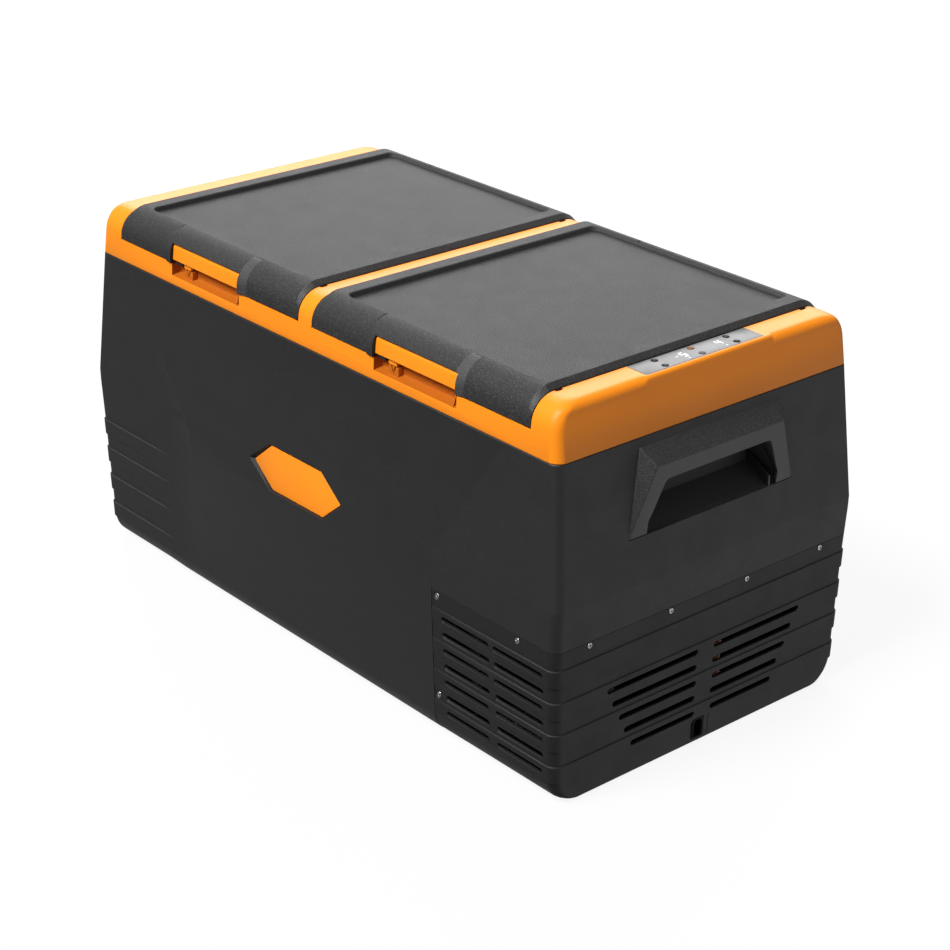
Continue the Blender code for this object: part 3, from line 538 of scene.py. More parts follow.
def body_levels():
    turns = [radians(a) for a in (0, 8, 16, 24, 33, 42, 51, 60, 70, 80)]
    levels = [FRONT_FOOT_R * (1 - cos(turn)) for turn in turns]
    for ledge in rib_ledges():
        base = ledge - RIB_HEIGHT
        levels += [base - RIB_STEP, base, ledge, ledge + RIB_STEP]
    return sorted(levels) + [COVER_TOP, CREASE, BELT - 1.2, BELT, BELT + 1.2, SEAM - 1.3, SEAM - 0.8,
                             SEAM - FIT]


def foot_drop(z, radius, inset):
    radius = max(radius - inset, 0.5)
    height = z - inset
    if height >= radius:
        return 0.0
    return radius - rolled(radius, radius - height)


def corner(hx, hy, sx, sy, radius=CORNER_R, count=9):
    start = {(-1, -1): 180, (1, -1): 270, (1, 1): 0, (-1, 1): 90}[sx, sy]
    return arc((sx * (hx - radius), sy * (hy - radius)), radius, start, 90.0, count)


def panel_stations(z):
    """Stations along the front: x, share of the rib setback, share of the panel's standing."""
    if z >= CREASE:
        up = (z - CREASE) / (SEAM - CREASE)
        lean = max(0.0, (z - 219.0) / (SEAM - 219.0))
        left, right = mix(-214.0, -344.0, up), mix(190.0, 326.0, up)
        outer_left, outer_right = mix(-219.5, -347.0, up), mix(222.0, 328.5, lean)
    else:
        up, lean = 0.0, 0.0
        left = mix(-219.0, -214.0, z / CREASE)
        right = mix(223.0, 190.0, z / CREASE)
        outer_left, outer_right = -222.0, mix(225.4, 222.0, z / CREASE)
    return [
        (mix(-300.0, -352.0, lean), 1.0, 0.0),
        (mix(-262.0, -349.0, lean), 0.0, 0.0),
        (outer_left, 0.0, 0.0),
        (left, 0.0, 1.0),
        (right, 0.0, 1.0),
        (outer_right, 0.0, 0.0),
        (mix(BAY_X - 0.1, 331.0, lean), 0.0, 0.0),
        (mix(BAY_X + 0.1, 333.5, lean), 0.3, 0.0),
        (mix(300.0, 350.0, lean), 0.75, 0.0),
    ]


def body_ring(z):
    hx, hy = body_half(z)
    recess = rib_recess(z)
    side = hy - foot_drop(z, FRONT_FOOT_R, 0.0)
    end = hx - foot_drop(z, END_FOOT_R, 0.0) - recess
    edge = max(0.0, z - (SEAM - 1.3)) * 0.5
    side -= edge
    end -= edge
    if z >= CREASE:
        proud = mix(0.5, PANEL_PROUD, (SEAM - z) / (SEAM - CREASE))
    else:
        proud = PANEL_PROUD * z / CREASE
    front = [(x, -(side - share * recess + panel * proud)) for x, share, panel in panel_stations(z)]
    rear = [(x, -y) for x, y in reversed(front)]
    ring = corner(end, side - recess, -1, -1) + front
    ring += corner(end, side - recess, 1, -1)
    ring += corner(end, side - recess, 1, 1) + rear
    ring += corner(end, side - recess, -1, 1)
    return [(x, y, z) for x, y in ring]


def inner_ring(z, inset):
    hx, hy = body_half(z)
    end = hx - RIB_DEPTH - inset - foot_drop(z, END_FOOT_R, inset)
    side = hy - RIB_DEPTH - inset - foot_drop(z, FRONT_FOOT_R, inset)
    radius = max(CORNER_R - inset, 5.0)
    ring = []
    for sx, sy in CORNERS:
        ring += corner(end, side, sx, sy, radius, 3)
    return [(x, y, z) for x, y in ring]


def inner_loft(inset, low, high):
    levels = [low, RIB_TOP, BELT, high]
    radius = FRONT_FOOT_R - inset
    for turn in (25, 50, 75, 90):
        levels.append(inset + radius * (1 - cos(radians(turn))))
    levels = sorted({round(z, 3) for z in levels if low <= z <= high})
    return loft([inner_ring(z, inset) for z in levels])


def wall_x(z):
    return body_half(z)[0] - rib_recess(z)


def wall_y(z):
    return body_half(z)[1] - rib_recess(z)


# ---- Body pieces

def handle_hull(sign, grow, back, front, nosed=False):
    """Corners from behind the wall to its front; the handle itself also reaches out to its nose."""
    foot = HANDLE_FOOT + 0.06 if nosed else HANDLE_FOOT
    points = []
    for side in (-1, 1):
        for z, half in ((HANDLE_TOP + grow, HANDLE_HALF[1] + grow), (foot, HANDLE_HALF[0] + grow)):
            points.append((sign * (wall_x(z) - back), side * half, z))
            points.append((sign * (wall_x(z) + front), side * half, z))
        if nosed:
            points.append((sign * HANDLE_NOSE[0], side * HANDLE_NOSE[1], HANDLE_NOSE[2]))
    return points, None


def opening(low, grow=0.0, radius=OPENING_R):
    """Outline of the space under a handle."""
    foot, top, high = OPENING_HALF[0] + grow, OPENING_HALF[1] + grow, OPENING_TOP + grow
    corners = [(-foot, low), (foot, low), (foot, OPENING_SHOULDER), (top, high), (-top, high),
               (-foot, OPENING_SHOULDER)]
    return softened(corners, [0.0, 0.0, radius, radius, radius, radius])


def screw_places():
    places = []
    for face, side in (("front", -1), ("rear", 1)):
        for number, (x, z) in enumerate(((234.4, 175.0), (359.5, 175.2), (233.2, 55.5)), 1):
            places.append((f"cover_screw_{face}_{number}", "Y", side, (x, z)))
    for number, y in enumerate((-170.0, -56.0, 56.0, 170.0), 1):
        places.append((f"cover_screw_end_{number}", "X", 1, (y, 177.0)))
    return places


def wall_at(axis, z):
    return wall_y(z) if axis == "Y" else wall_x(z)


def screw_hole(axis, side, cross):
    wall = wall_at(axis, cross[1])
    return rod(axis, cross, *sorted((side * (wall - 16.0), side * (wall + 12.0))), SCREW_HOLE_R, 16)


def screw_holes():
    return joined([screw_hole(axis, side, cross) for _, axis, side, cross in screw_places()])


def hexagon(centre, half_width, half_flat, half_height, radius=1.2):
    x, z = centre
    corners = [(x - half_width, z), (x - half_flat, z - half_height), (x + half_flat, z - half_height),
               (x + half_width, z), (x + half_flat, z + half_height), (x - half_flat, z + half_height)]
    return softened(corners, radius, 3)


def badge_recess():
    floor = hexagon(BADGE_CENTRE, BADGE_HALF[0] + 1.0, BADGE_HALF[1] + 0.6, BADGE_HALF[2] + 0.6)
    mouth = hexagon(BADGE_MOUTH_CENTRE, *BADGE_MOUTH_HALF)
    beyond = [(2.0 * a - c, 2.0 * b - d) for (a, b), (c, d) in zip(mouth, floor)]
    return stack("Y", (floor, -215.0), (mouth, -220.2), (beyond, -225.4))


def handle_pocket(sign):
    """Hollow behind a handle, with a back that slopes forward to its foot."""
    span = sorted((sign * POCKET_BACK, sign * 440.0))
    pocket = solid(f"pocket_{sign}", prism(opening(HANDLE_FOOT - 0.1), "X", *span))
    wedge = [(sign * 440.0, 274.95), (sign * 409.6, 274.95), (sign * POCKET_BACK, 293.0),
             (sign * POCKET_BACK, 332.0), (sign * 440.0, 332.0)]
    return combine(pocket, prism(wedge, "Y", -120.0, 120.0), "INTERSECT")


def pocket_rib(sign):
    outline = [(sign * 377.0, 292.0), (sign * 412.2, 272.0), (sign * 412.2, 286.5), (sign * 377.0, 306.0)]
    return prism(outline, "Y", *POCKET_RIB_Y)


def in_pocket(face, points):
    return all(POCKET_BACK - 0.5 < abs(x) < 413.0 and abs(y) < OPENING_HALF[0] + 0.6
               and HANDLE_FOOT - 0.5 < z < OPENING_TOP + 0.5 for x, y, z in points)


def on_pocket_rib(face, points):
    low, high = POCKET_RIB_Y
    return in_pocket(face, points) and all(low - 0.1 < y < high + 0.1 for _, y, _ in points)


def make_shell():
    shell = solid("shell", loft([body_ring(z) for z in body_levels()]))
    cavity = solid("shell_cavity", inner_loft(WALL, WALL + 0.5, SEAM + 20.0))
    cut(cavity, box((BAY_X - BAY_WALL, FAR), (-FAR, FAR), (-10.0, COVER_TOP + BAY_WALL)))
    for sign in (-1, 1):
        span = sorted((sign * 374.5, sign * FAR))
        cut(cavity, box(span, (-124.0, 124.0), (268.0, 374.0)))
    tongue = solid("bay_tongue", inner_loft(WALL + 0.4, 34.0, COVER_TOP + 1.0))
    cut(tongue, inner_loft(WALL + 3.4, 32.0, COVER_TOP + 6.0))
    cut(tongue, box((-FAR, BAY_X - 1.0), (-FAR, FAR), (0.0, 300.0)))
    cut(tongue, box((BAY_X + 14.0, FAR), (-FAR, FAR), (0.0, COVER_TOP - 13.0)))
    bay = solid("bay_space", box((BAY_X, FAR), (-FAR, FAR), (-10.0, COVER_TOP)))
    cut(bay, tongue)
    cut(shell, cavity, bay)
    for sign in (-1, 1):
        cut(shell, handle_hull(sign, -0.8, WALL + FIT, 9.0), handle_pocket(sign))
        add(shell, pocket_rib(sign))
    cut(shell, badge_recess(), screw_holes())
    finished(shell, "body", "cabinet", ["outer_shell"], 18.0)
    # Pocket faces get the lighter copy of the body plastic: painted fill light in the shaded hollow.
    paint(shell, "pocket", in_pocket)
    paint(shell, "grip", on_pocket_rib)


def vent(axis, side, span, z):
    """Air slot with a rounded mouth."""
    wall = wall_at(axis, z)
    inner = 3.0
    layers = [(inner, -16.0), (inner, -0.9), (3.25, -0.4), (3.6, 0.05), (3.9, 0.6), (4.4, 3.0)]
    outlines = [(slot((span[0] - half + inner, span[1] + half - inner), z, half), side * (wall + out))
                for half, out in layers]
    return stack(axis, *outlines)


def vent_slots():
    shapes = []
    for row in range(VENT_ROWS):
        z = RIB_TOP - RIB_HEIGHT / 2 - RIB_HEIGHT * row
        for start, end in ((241.5, 316.2), (322.5, 398.0)):
            span = (start + 0.85 * row, end - 0.3 * row)
            shapes += [vent("Y", -1, span, z), vent("Y", 1, span, z)]
        if row >= 2:
            reach = 142.5 - 9.3 * (row - 2)
            shapes += [vent("X", 1, (12.0, reach), z), vent("X", 1, (-reach, -12.0), z)]
    return joined(shapes)


def make_cover():
    levels = [z for z in body_levels() if z <= COVER_TOP]
    cover = solid("machine_cover", loft([body_ring(z) for z in levels]))
    combine(cover, box((BAY_X + FIT + 0.25, FAR), (-FAR, FAR), (-10.0, COVER_CUT)), "INTERSECT")
    cut(cover, inner_loft(WALL, COVER_FLOOR, COVER_TOP + 20.0))
    cut(cover, box((-FAR, 385.0), (-170.0, 170.0), (-10.0, 60.0)))
    cut(cover, vent_slots())
    cut(cover, screw_holes())
    seats = []
    for _, axis, side, cross in screw_places():
        wall = wall_at(axis, cross[1])
        steps = [(-0.5, 3.8), (0.1, 4.4), (3.0, 7.2)]
        seats.append(lathe([(side * (wall + out), r) for out, r in steps], axis, cross, 24))
    cut(cover, joined(seats))
    cut(cover, box((395.0, FAR), (-13.6, 4.3), (5.7, 30.3)))
    cut(cover, box((wall_x(17.0) - 0.8, FAR), (10.6, 11.4), (5.0, 30.0)))
    finished(cover, "rib", "cabinet", ["compressor_bay_cover"])


def make_screws():
    """Pan heads with a cross recess."""
    for name, axis, side, cross in screw_places():
        wall = wall_at(axis, cross[1]) - 0.45
        steps = [(-11.0, 1.7), (-9.5, 2.0), (0.1, 2.0), (0.1, 3.2), (0.5, 3.3), (0.9, 3.1), (1.2, 2.6),
                 (1.4, 1.6), (1.45, 0.8)]
        screw = solid(f"{name}.head", lathe([(side * (wall + out), r) for out, r in steps], axis, cross, 24))
        low, high = sorted((side * (wall + 0.2), side * (wall + 4.0)))
        for a, b in ((2.0, 0.55), (0.55, 2.0)):
            arm = [(cross[0] + sx * a, cross[1] + sy * b) for sx, sy in CORNERS]
            cut(screw, prism(arm, axis, low, high))
        finished(screw, "steel", "cabinet", [name])


def make_handles():
    for side, sign in (("left", -1), ("right", 1)):
        hull = handle_hull(sign, 0.0, WALL, 0.0, nosed=True)
        handle = solid(f"carry_handle_{side}", hull, bevel=4.6, segments=6)
        inner, mouth = opening(HANDLE_FOOT - 20.0), opening(HANDLE_FOOT - 20.0, 2.5, 9.0)
        cut(handle, stack("X", (inner, sign * 380.0), (inner, sign * 415.6), (mouth, sign * 419.5)))
        finished(handle, "handle", "cabinet", [f"handle_{side}"], 40.0)
        paint(handle, "grip", lambda face, points: sign * face.normal.x > 0.955)


def make_badge():
    plate = [(hexagon(BADGE_CENTRE, BADGE_HALF[0] - s, BADGE_HALF[1] - s * 0.6, BADGE_HALF[2] - s), y)
             for s, y in ((0.0, -215.3), (0.0, -216.4), (0.15, -216.7), (0.5, -216.8))]
    finished(solid("badge_plate", stack("Y", *plate)), "badge", "cabinet", ["badge"])


# ---- Top frame

def frame_half(z):
    end = SEAM_HALF[0] - FRAME_END_SLOPE * (z - SEAM)
    side = SEAM_HALF[1] - FRAME_SIDE_SLOPE * (z - SEAM)
    if z > END_ROLL[1]:
        end = END_ROLL[0] + rolled(END_ROLL[2], z - END_ROLL[1])
    if z > ROLL_Z:
        side = ROLL_Y + rolled(ROLL_R, z - ROLL_Z)
    return end, side


def frame_ring(z, inset=0.0):
    end, side = frame_half(z)
    edge = max(0.0, SEAM + 1.0 - z) * 0.5 if inset == 0.0 else 0.0
    end -= inset + edge
    side -= inset + edge
    bulge = SEAM_HALF[0] - FRAME_END_SLOPE * (z - SEAM) - inset - edge
    if z > PANEL_ROLL[1]:
        bulge = PANEL_ROLL[0] + rolled(PANEL_ROLL[2], z - PANEL_ROLL[1])
    ring = corner(end, side, -1, -1) + corner(end, side, 1, -1)
    for y, share in ((-88.6, 0.0), (-88.0, 0.06), (-85.0, 0.94), (-84.4, 1.0),
                     (91.4, 1.0), (92.0, 0.94), (95.0, 0.06), (95.6, 0.0)):
        ring.append((mix(end, bulge, share), y))
    ring += corner(end, side, 1, 1) + corner(end, side, -1, 1)
    return [(x, y, z) for x, y in ring]


def latch_span(side, margin):
    low, high = SIDES[side]["latch"]
    return low - margin, high + margin


def hinge_spans(side):
    low, high = SIDES[side]["liner"]
    barrel = (low + 46.0, high - 46.0)
    return barrel, (barrel[0] - 22.0, barrel[0] - FIT), (barrel[1] + FIT, barrel[1] + 22.0)


def frame_hollow():
    """Space inside the frame that leaves walls around the wells, latch recesses and hinges."""
    hollow = solid("frame_hollow", loft([frame_ring(z, 3.5) for z in (370.0, 399.9)]))
    for side in SIDES:
        low, high = SIDES[side]["liner"]
        cut(hollow, box((low - 5.5, high + 5.5), (-WELL_Y - 3.5, WELL_Y + 3.5), (300.0, 450.0)))
        cut(hollow, box(latch_span(side, 5.5), (-FAR, -191.0), (380.0, 450.0)))
        _, left, right = hinge_spans(side)
        cut(hollow, box((left[0] - 4.0, right[1] + 4.0), (195.0, FAR), (392.0, 450.0)))
    return hollow


def cut_openings(top, side):
    """Lid bench, well, bench corners and latch recess of one side."""
    low, high = SIDES[side]["lid"]
    inner = SIDES[side]["liner"]
    cut(top, box((low - 1.0, high + 1.0), (-FAR, FAR), (BENCH, 500.0)))
    cut(top, box((inner[0] - 2.0, inner[1] + 2.0), (-WELL_Y, WELL_Y), (300.0, 500.0)))
    for x in (low - 2.4, high + 2.4):
        for y in (-173.0, 173.5):
            cut(top, box((x - 2.0, x + 2.0), (y - 5.0, y + 5.0), (430.0, 500.0)))
    outline = softened([(-216.0, 387.6), (-209.2, 389.3), (-196.0, 391.5), (-195.2, 415.0),
                        (-216.0, 415.0)], [0.0, 1.0, 1.5, 0.0, 0.0], 4)
    cut(top, prism(outline, "X", *latch_span(side, 1.0)))


def add_catch(top, side):
    """Notched catch block and the fin at the other end of the latch recess."""
    catch = SIDES[side]["latch"][0] + CATCH_OFFSET
    block = box((catch, catch + CATCH_WIDTH), (-203.0, -193.0), (388.0, 400.5))
    add(top, solid(f"catch_{side}", block, 0.7))
    middle = catch + CATCH_WIDTH / 2
    tooth = [(middle - 4.5, 401.0), (middle, 391.5), (middle + 4.5, 401.0), (middle + 2.6, 401.0),
             (middle, 395.2), (middle - 2.6, 401.0)]
    cut(top, prism(tooth, "Y", -206.0, -201.6))
    end = SIDES[side]["latch"][1]
    fin = [(-207.0, 390.0), (-194.0, 390.0), (-194.0, 402.0), (-203.0, 402.0)]
    add(top, prism(fin, "X", end - 6.0, end - 4.4))


def add_hinge(top, side):
    barrel, left, right = hinge_spans(side)
    cut(top, rod("X", HINGE, barrel[0] - FIT, barrel[1] + FIT, BARREL_R + BARREL_GAP, 40))
    add(top, rod("X", HINGE, *left, BARREL_R, 40), rod("X", HINGE, *right, BARREL_R, 40))
    cut(top, rod("X", HINGE, left[0] - 1.0, right[1] + 1.0, HINGE_PIN_R + PIN_GAP))


def in_latch_recess(face, points):
    level = all(-209.6 < y < -194.0 and 388.5 < z < 403.6 for _, y, z in points)
    spans = [latch_span(side, 1.1) for side in SIDES]
    return level and any(all(low < x < high for x, _, _ in points) for low, high in spans)


def make_frame():
    turns = [radians(a) for a in range(0, 91, 6)]
    levels = [SEAM, SEAM + 0.4, SEAM + 1.0] + [ROLL_Z + ROLL_R * sin(turn) for turn in turns]
    top = solid("orange_frame", loft([frame_ring(z) for z in levels]))
    cut(top, frame_hollow())
    for x, high in (((367.5, 391.0), 425.5), ((-391.0, -362.2), 431.5), ((-5.6, 9.8), 432.0)):
        cut(top, box(x, (-WELL_Y, WELL_Y), (365.0, high)))
    for side in SIDES:
        cut_openings(top, side)
        add_catch(top, side)
        add_hinge(top, side)
    recess = rounded((PANEL_X[0] - FIT, PANEL_X[1] + 0.1), (PANEL_Y[0] - FIT, PANEL_Y[1] + FIT), 2.5)
    cut(top, prism(recess, "Z", 428.5, 500.0))
    finished(top, "orange", "cabinet", ["top_frame"], 28.0)
    # Latch recess faces get the darker orange: painted shade where the paddle and lid shade the recess.
    paint(top, "recess", in_latch_recess)


# ---- Controls

BARS = {
    "top": ((-1.0, -0.5), (-1.0, 0.5)), "middle": ((0.0, -0.5), (0.0, 0.5)),
    "bottom": ((1.0, -0.5), (1.0, 0.5)), "upper_left": ((-1.0, -0.5), (0.0, -0.5)),
    "upper_right": ((-1.0, 0.5), (0.0, 0.5)), "lower_right": ((0.0, 0.5), (1.0, 0.5)),
}
KEY_DRESS = {"button_power": ("power_key", "power_button_plastic"),
             "button_set": ("set_key", "set_button_plastic")}


def digit(centre, height, *lit):
    """Bars of a seven-bar digit standing on the panel, read from the +X end."""
    shapes = []
    for name in lit:
        first, last = (Vector(centre) + Vector(end) * height / 2 for end in BARS[name])
        run = (last - first).normalized()
        across = Vector((-run.y, run.x)) * height * 0.045
        first += run * height * 0.05
        last -= run * height * 0.05
        tip = run * height * 0.06
        outline = [first - tip, first + across, last + across, last + tip, last - across, first - across]
        shapes.append(prism([(p.x, p.y) for p in outline], "Z", PRINT_BASE, PRINT_BASE + 0.17))
    return shapes


def panel_edge(inset):
    return [(low + inset, high - inset) for low, high in (PANEL_X, PANEL_Y)]


def make_fascia():
    layers = [(rounded(*panel_edge(inset), 2.2), FASCIA_TOP - drop)
              for inset, drop in ((0.0, 2.3), (0.0, 0.3), (0.1, 0.1), (0.35, 0.0))]
    panel = solid("control_fascia", stack("Z", *layers))
    holes = [lathe([(430.0, 3.7), (436.5, 3.7), (437.0, 4.1)], "Z", centre) for centre in BUTTONS.values()]
    cut(panel, joined(holes))
    finished(panel, "panel", "cabinet", ["control_panel"])
    lines = [band((367.2, 387.8), y, (PRINT_BASE, PRINT_BASE + 0.13), 0.35, 1.8)
             for y in ((-43.6, -7.4), (9.6, 46.4))]
    lines.append(band(*panel_edge(1.1), (PRINT_BASE, PRINT_BASE + 0.1), 0.25, 1.6))
    finished(solid("fascia_lines", joined(lines)), "line", "cabinet")


def make_display():
    shapes = digit((377.0, -25.6), 6.4, "middle")
    shapes += digit((377.0, -16.8), 9.6, "top", "upper_left", "middle", "lower_right", "bottom")
    shapes += digit((376.0, 34.5), 9.6, "upper_left", "upper_right", "middle", "lower_right")
    for x, y in ((385.6, -17.5), (385.6, 36.5)):
        shapes.append(prism(slot((x, x + 2.2), y, 0.45), "Z", PRINT_BASE, PRINT_BASE + 0.15))
    finished(solid("display_digits", joined(shapes)), "digit", "cabinet")


def key_stroke(x, y):
    return prism(rounded(x, y, 0.2, 2), "Z", *KEY_PRINT)


def power_mark(x, y):
    """Open ring with a stroke in its gap."""
    arcs, gap, sweep = 9, 35.0, 290.0
    marks = [key_stroke((x - 1.7, x - 0.1), (y - 0.25, y + 0.25))]
    for k in range(arcs):
        turns = [radians(gap + (sweep / arcs) * (k + j)) for j in (0.0, 1.0)]
        outline = [(x - r * cos(t), y + r * sin(t))
                   for r, order in ((1.7, turns), (1.25, reversed(turns))) for t in order]
        marks.append(prism(outline, "Z", *KEY_PRINT))
    return marks


def set_mark(x, y):
    return [key_stroke((x + d - 0.22, x + d + 0.22), (y - 1.5, y + 1.5)) for d in (-1.0, 0.0, 1.0)]


def arrow_mark(x, y, sign):
    outline = [(x + sign * 1.4, y), (x - sign * 0.5, y - 1.7), (x - sign * 1.0, y - 1.3),
               (x + sign * 0.5, y), (x - sign * 1.0, y + 1.3), (x - sign * 0.5, y + 1.7)]
    return [prism(outline, "Z", *KEY_PRINT)]


def make_buttons():
    profile = [(432.4, 4.2), (433.6, 4.2), (433.6, 3.5), (436.9, 3.5), (437.2, 3.4), (437.34, 3.1),
               (437.4, 2.6), (437.4, 1.2)]
    for name, centre in BUTTONS.items():
        look, plastic = KEY_DRESS.get(name, ("black", "black_plastic"))
        finished(solid(f"{name}.cap", lathe(profile, "Z", centre)), look, name, [name])
        if name == "button_power":
            marks = power_mark(*centre)
        elif name == "button_set":
            marks = set_mark(*centre)
        else:
            marks = arrow_mark(*centre, -1.0 if name.endswith("up") else 1.0)
        finished(solid(f"{name}.mark", joined(marks)), "legend", name)


def make_inlet():
    layers = [(rounded((-13.3 + s, 4.0 - s), (6.0 + s, 30.0 - s), 1.8), x)
              for s, x in ((0.0, 392.0), (0.0, 413.3), (0.2, 413.7), (0.6, 413.9))]
    inlet = solid("power_inlet", stack("X", *layers))
    key = [(-11.0, 7.7), (1.0, 7.7), (1.0, 24.8), (-2.2, 28.0), (-7.8, 28.0), (-11.0, 24.8)]
    cut(inlet, prism(softened(key, 1.0, 3), "X", 397.0, 430.0))
    finished(inlet, "black", "cabinet", ["dc_inlet"])
    profile = [(396.5, 1.5), (407.2, 1.5), (407.8, 1.2), (408.0, 0.7)]
    pins = [lathe(profile, "X", (-5.0, z), 20) for z in (22.6, 13.0)]
    finished(solid("inlet_pins", joined(pins)), "brass", "cabinet")


# ---- Lids

def lid_section(x, drop, forward):
    """Cross-section of a lid: its shoulder lowered by the drop, its front moved forward."""
    outline = []
    steps = 24
    for sign, shift in ((-1, forward), (1, 0.0)):
        arc = [(x, sign * (LID_Y + shift + LID_R - 0.6), FLAP_BOTTOM),
               (x, sign * (LID_Y + shift + LID_R), FLAP_BOTTOM + 0.6)]
        for k in range(steps + 1):
            turn = radians(90.0 * k / steps)
            y = LID_Y + shift + LID_R * cos(turn)
            z = LID_Z + (LID_R - drop) * sin(turn)
            arc.append((x, sign * y, z))
        outline += arc if sign < 0 else list(reversed(arc))
    return outline


def tray_cutter(low, high):
    """Tray in the lid's top: rounded at its floor and at its rim."""
    rim = LID_Z + LID_R
    floor = TRAY_FLOOR
    layers = [(-1.6, floor), (-0.7, floor + 0.25), (-0.15, floor + 1.0), (0.0, floor + 2.0),
              (0.3, rim - 1.3), (0.7, rim - 0.5), (1.6, rim + 0.02), (4.0, rim + 0.8)]
    return stack("Z", *[(rounded((low + 24.6 - grow, high - 24.2 + grow), (-TRAY_Y - grow, TRAY_Y + grow),
                                 9.0 + grow, 8), z) for grow, z in layers])


def lid_space(side):
    """Hollow under the lid, less the walls around its latch recess."""
    low, high = SIDES[side]["lid"]
    outline = [(-204.1, 380.0), (-204.1, 411.0), (-202.3, 420.0), (-196.5, 430.0), (196.5, 430.0),
               (202.3, 420.0), (204.1, 411.0), (204.1, 409.8), (200.6, 409.8), (200.6, 380.0)]
    space = solid(f"lid_space_{side}", prism(outline, "X", low + WALL, high - WALL))
    return cut(space, box(latch_span(side, 5.0), (-FAR, -191.5), (300.0, 431.0)))


def make_lid(side):
    low, high = SIDES[side]["lid"]
    grip = SIDES[side]["grip"]
    chamfer = [(0.0, LID_CHAMFER_Z + 0.3), (0.5, LID_CHAMFER_Z - 0.5), (LID_CHAMFER_X - 0.5, 0.4),
               (LID_CHAMFER_X + 0.3, 0.0)]
    sections = [(low + inset, drop, 0.0) for inset, drop in chamfer]
    sections += [(grip[0] - 1.8, 0.0, 0.0), (grip[0] - 1.6, 1.6, -1.8), (grip[0], 1.6, -1.8),
                 (grip[0] + GRIP_STEP, 0.0, GRIP_PROUD), (grip[1] - GRIP_CHAMFER, 0.0, GRIP_PROUD),
                 (grip[1], 0.0, 0.0)]
    sections += [(high - inset, drop, 0.0) for inset, drop in reversed(chamfer)]
    lid = solid(f"lid_cover_{side}", loft([lid_section(*section) for section in sections]))
    barrel, left, right = hinge_spans(side)
    add(lid, rod("X", HINGE, *barrel, BARREL_R, 40))
    cut(lid, lid_space(side), tray_cutter(low, high))
    cut(lid, box(latch_span(side, 0.7), (-FAR, -194.8), (380.0, 427.4)))
    start = SIDES[side]["latch"][0]
    add(lid, box((start + 0.8, start + 13.5), (-203.2, -193.5), (402.5, 410.0)))
    cut(lid, rod("X", LATCH, *latch_span(side, 3.6), LATCH_PIN_R + PIN_GAP))
    for span in (left, right):
        cut(lid, rod("X", HINGE, span[0] - 0.5, span[1] + 0.5, BARREL_R + BARREL_GAP, 40))
    cut(lid, rod("X", HINGE, low - 5.0, high + 5.0, HINGE_PIN_R + PIN_GAP))
    finished(lid, "lid", f"lid_{side}_body", [f"lid_{side}"], 11.0)

    # Chamfer facets facing the right end get the lighter lid colour: a painted highlight.
    def on_facet(face, points):
        x, y, z = face.center / MM
        hood_end = grip[1] - GRIP_CHAMFER - 0.1 < x < grip[1] + 0.1 and face.normal.x > 0.05
        lid_end = x > high - LID_CHAMFER_X - 1.1 and 0.15 < face.normal.x < 0.95
        return (hood_end or lid_end) and y < -184.0 and z > FLAP_BOTTOM + 0.1

    # The tray's steep inner walls get the lighter lid colour: painted light.
    def on_tray_wall(face, points):
        x, y, z = face.center / MM
        in_tray = low + 20.0 < x < high - 20.0 and abs(y) < TRAY_Y + 2.0 and z > TRAY_FLOOR + 1.0
        return in_tray and abs(face.normal.z) < 0.75

    paint(lid, "painted_highlight_facet", on_facet)
    paint(lid, "painted_light_tray_wall", on_tray_wall)


def make_latch(side):
    """Paddle that curls around its pin, with a hook behind it."""
    outline = [(-206.2, 407.9), (-206.6, 408.6), (-206.1, 414.0), (-205.2, 421.5)]
    outline += arc(LATCH, LATCH_R, 150.0, -180.0, 12)
    outline += [(-199.5, 416.2), (-202.9, 414.5), (-203.6, 408.6), (-204.0, 407.9)]
    low, high = latch_span(side, 0.0)
    middle = (-203.0, 416.0)
    pulled = [(mix(y, middle[0], 0.05), mix(z, middle[1], 0.025)) for y, z in outline]
    layers = [(pulled, low), (outline, low + 0.5), (outline, high - 0.5), (pulled, high)]
    latch = solid(f"latch_paddle_{side}", stack("X", *layers))
    hook = [(-205.5, 409.0), (-203.9, 409.0), (-203.9, 402.0), (-200.4, 402.0), (-200.4, 417.5),
            (-205.5, 417.5)]
    catch = low + CATCH_OFFSET
    add(latch, prism(hook, "X", catch + 1.5, catch + CATCH_WIDTH - 1.5))
    cut(latch, rod("X", LATCH, low - 5.0, high + 5.0, LATCH_PIN_R + PIN_GAP))
    finished(latch, "orange", f"latch_{side}_body", [f"latch_{side}"], 28.0)


# ---- Nodes kept from the CAD

def both(*names):
    return [f"{name}_{side}" for name in names for side in SIDES]


KEPT = {
    "white": both("liner", "lid_liner"),
    "foam": ["foam_insulation", *both("lid_foam")],
    "rubber": [*both("lid_gasket"), *[f"compressor_mount_{k}" for k in range(1, 5)]],
    "steel": both("hinge_pin", "latch_pin"),
    "sheet": ["compressor_bracket", "controller_box"],
    "aluminium": both("evaporator"),
    "enamel": ["compressor"],
    # The condenser and base plate are dressed in black plastic as painted shade, so the vent slots read
    # dark.
    "black": ["fan_shroud", "fan_rotor", "condenser", "base_plate"],
    "board": ["display_board"],
    "lens": ["interior_light"],
    "copper": ["filter_drier", "discharge_tube", "suction_tube"],
}


def dress_nodes():
    for look, names in KEPT.items():
        for name in names:
            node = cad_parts[name]
            if not node.material_slots:
                node.data.materials.append(LOOKS[look])
            for material_slot in node.material_slots:
                material_slot.material = LOOKS[look]


# ---- Studio, in metres and degrees

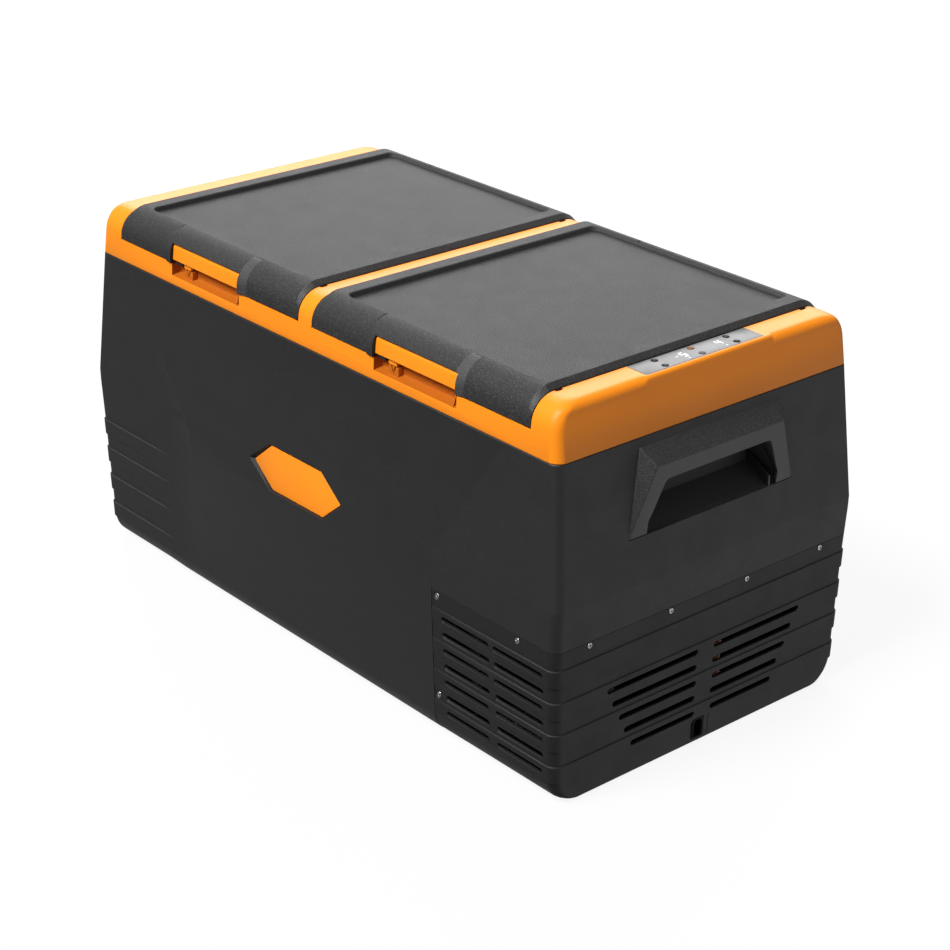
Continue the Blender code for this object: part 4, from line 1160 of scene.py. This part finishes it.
WHITE = (1.0, 1.0, 1.0, 1.0)
AMBIENT = 0.21
BOUNCE = (0.72, 0.55, -0.42)
BOUNCE_EDGE = 0.62
BOUNCE_GLOW = 0.84
FOOT_BOUNCE = (-0.72, 0.10, -0.68)
FOOT_EDGE = 0.88
FOOT_GLOW = 0.55
FLOOR_GLOW = 0.88
SUN = 4.95
SUN_SPREAD = 28.0
SUN_FROM = (-0.06, -0.64, 0.76)
SOFTBOX = 172.0
SOFTBOX_SIZE = (4.0, 2.6)
SOFTBOX_AT = (-2.3, 2.2, 2.3)
CAMERA_TURN = 49.29
CAMERA_TILT = 24.82
CAMERA_ROLL = 0.47
CAMERA_AT = (1.84267, -1.55018, 1.27919)
CAMERA_LENS = 86.34


def make_world():
    """Even white light with one soft glow low behind the right end and one below the left end."""
    world = bpy.data.worlds.new("studio")
    scene.world = world
    world.use_nodes = True
    tree = world.node_tree
    direction = node_of(tree, "ShaderNodeTexCoord").outputs["Generated"]

    def glow(toward, edge, outside, inside):
        facing = node_of(tree, "ShaderNodeVectorMath", {1: Vector(toward).normalized()},
                         operation="DOT_PRODUCT")
        tree.links.new(direction, facing.inputs[0])
        return ranged(tree, facing.outputs["Value"], outside, inside, edge, 1.0, "SMOOTHSTEP")

    total = node_of(tree, "ShaderNodeMath", operation="ADD")
    tree.links.new(glow(BOUNCE, BOUNCE_EDGE, AMBIENT, BOUNCE_GLOW), total.inputs[0])
    tree.links.new(glow(FOOT_BOUNCE, FOOT_EDGE, 0.0, FOOT_GLOW), total.inputs[1])
    background = tree.nodes["Background"]
    background.inputs["Color"].default_value = WHITE
    tree.links.new(total.outputs["Value"], background.inputs["Strength"])


def make_floor():
    """Evenly glowing floor that casts no light of its own on the object."""
    material = bpy.data.materials.new("floor")
    material.use_nodes = True
    tune(material.node_tree.nodes["Principled BSDF"],
         {"Base Color": (0.08, 0.08, 0.08, 1.0), "Roughness": 1.0, "Specular IOR Level": 0.0,
          "Emission Color": WHITE, "Emission Strength": FLOOR_GLOW})
    floor = solid("floor", box((-20000.0, 20000.0), (-20000.0, 20000.0), (-20.0, -0.3)))
    floor.data.materials.append(material)
    floor.visible_diffuse = False
    floor.visible_glossy = False


def hang(name, lamp, location, at):
    item = bpy.data.objects.new(name, lamp)
    item.location = location
    item.rotation_mode = "QUATERNION"
    item.rotation_quaternion = (Vector(at) - item.location).to_track_quat("-Z", "Y")
    scene.collection.objects.link(item)


def make_lights():
    sun = bpy.data.lights.new("key", "SUN")
    sun.energy = SUN
    sun.angle = radians(SUN_SPREAD)
    hang("key", sun, Vector(SUN_FROM) * 4.0, (0.0, 0.0, 0.0))
    soft = bpy.data.lights.new("rear_softbox", "AREA")
    soft.energy = SOFTBOX
    soft.shape = "RECTANGLE"
    soft.size, soft.size_y = SOFTBOX_SIZE
    hang("rear_softbox", soft, SOFTBOX_AT, (0.0, 0.0, 0.2))


def make_camera():
    azimuth, elevation, roll = (radians(a) for a in (CAMERA_TURN, CAMERA_TILT, CAMERA_ROLL))
    back = Vector((sin(azimuth) * cos(elevation), -cos(azimuth) * cos(elevation), sin(elevation)))
    right = Vector((cos(azimuth), sin(azimuth), 0.0))
    up = back.cross(right)
    turned = right * cos(roll) + up * sin(roll)
    lifted = up * cos(roll) - right * sin(roll)
    lens = bpy.data.cameras.new("camera")
    lens.lens = CAMERA_LENS
    lens.sensor_width = 36.0
    camera = bpy.data.objects.new("camera", lens)
    camera.matrix_world = Matrix([(*row, at) for *row, at in zip(turned, lifted, back, CAMERA_AT)]
                                 + [(0.0, 0.0, 0.0, 1.0)])
    scene.collection.objects.link(camera)
    scene.camera = camera


make_camera()
make_world()
make_floor()
make_lights()
scene.view_settings.view_transform = "Standard"
make_shell()
make_cover()
make_screws()
make_handles()
make_badge()
make_frame()
make_fascia()
make_display()
make_buttons()
make_inlet()
for lid_side in SIDES:
    make_lid(lid_side)
    make_latch(lid_side)
dress_nodes()
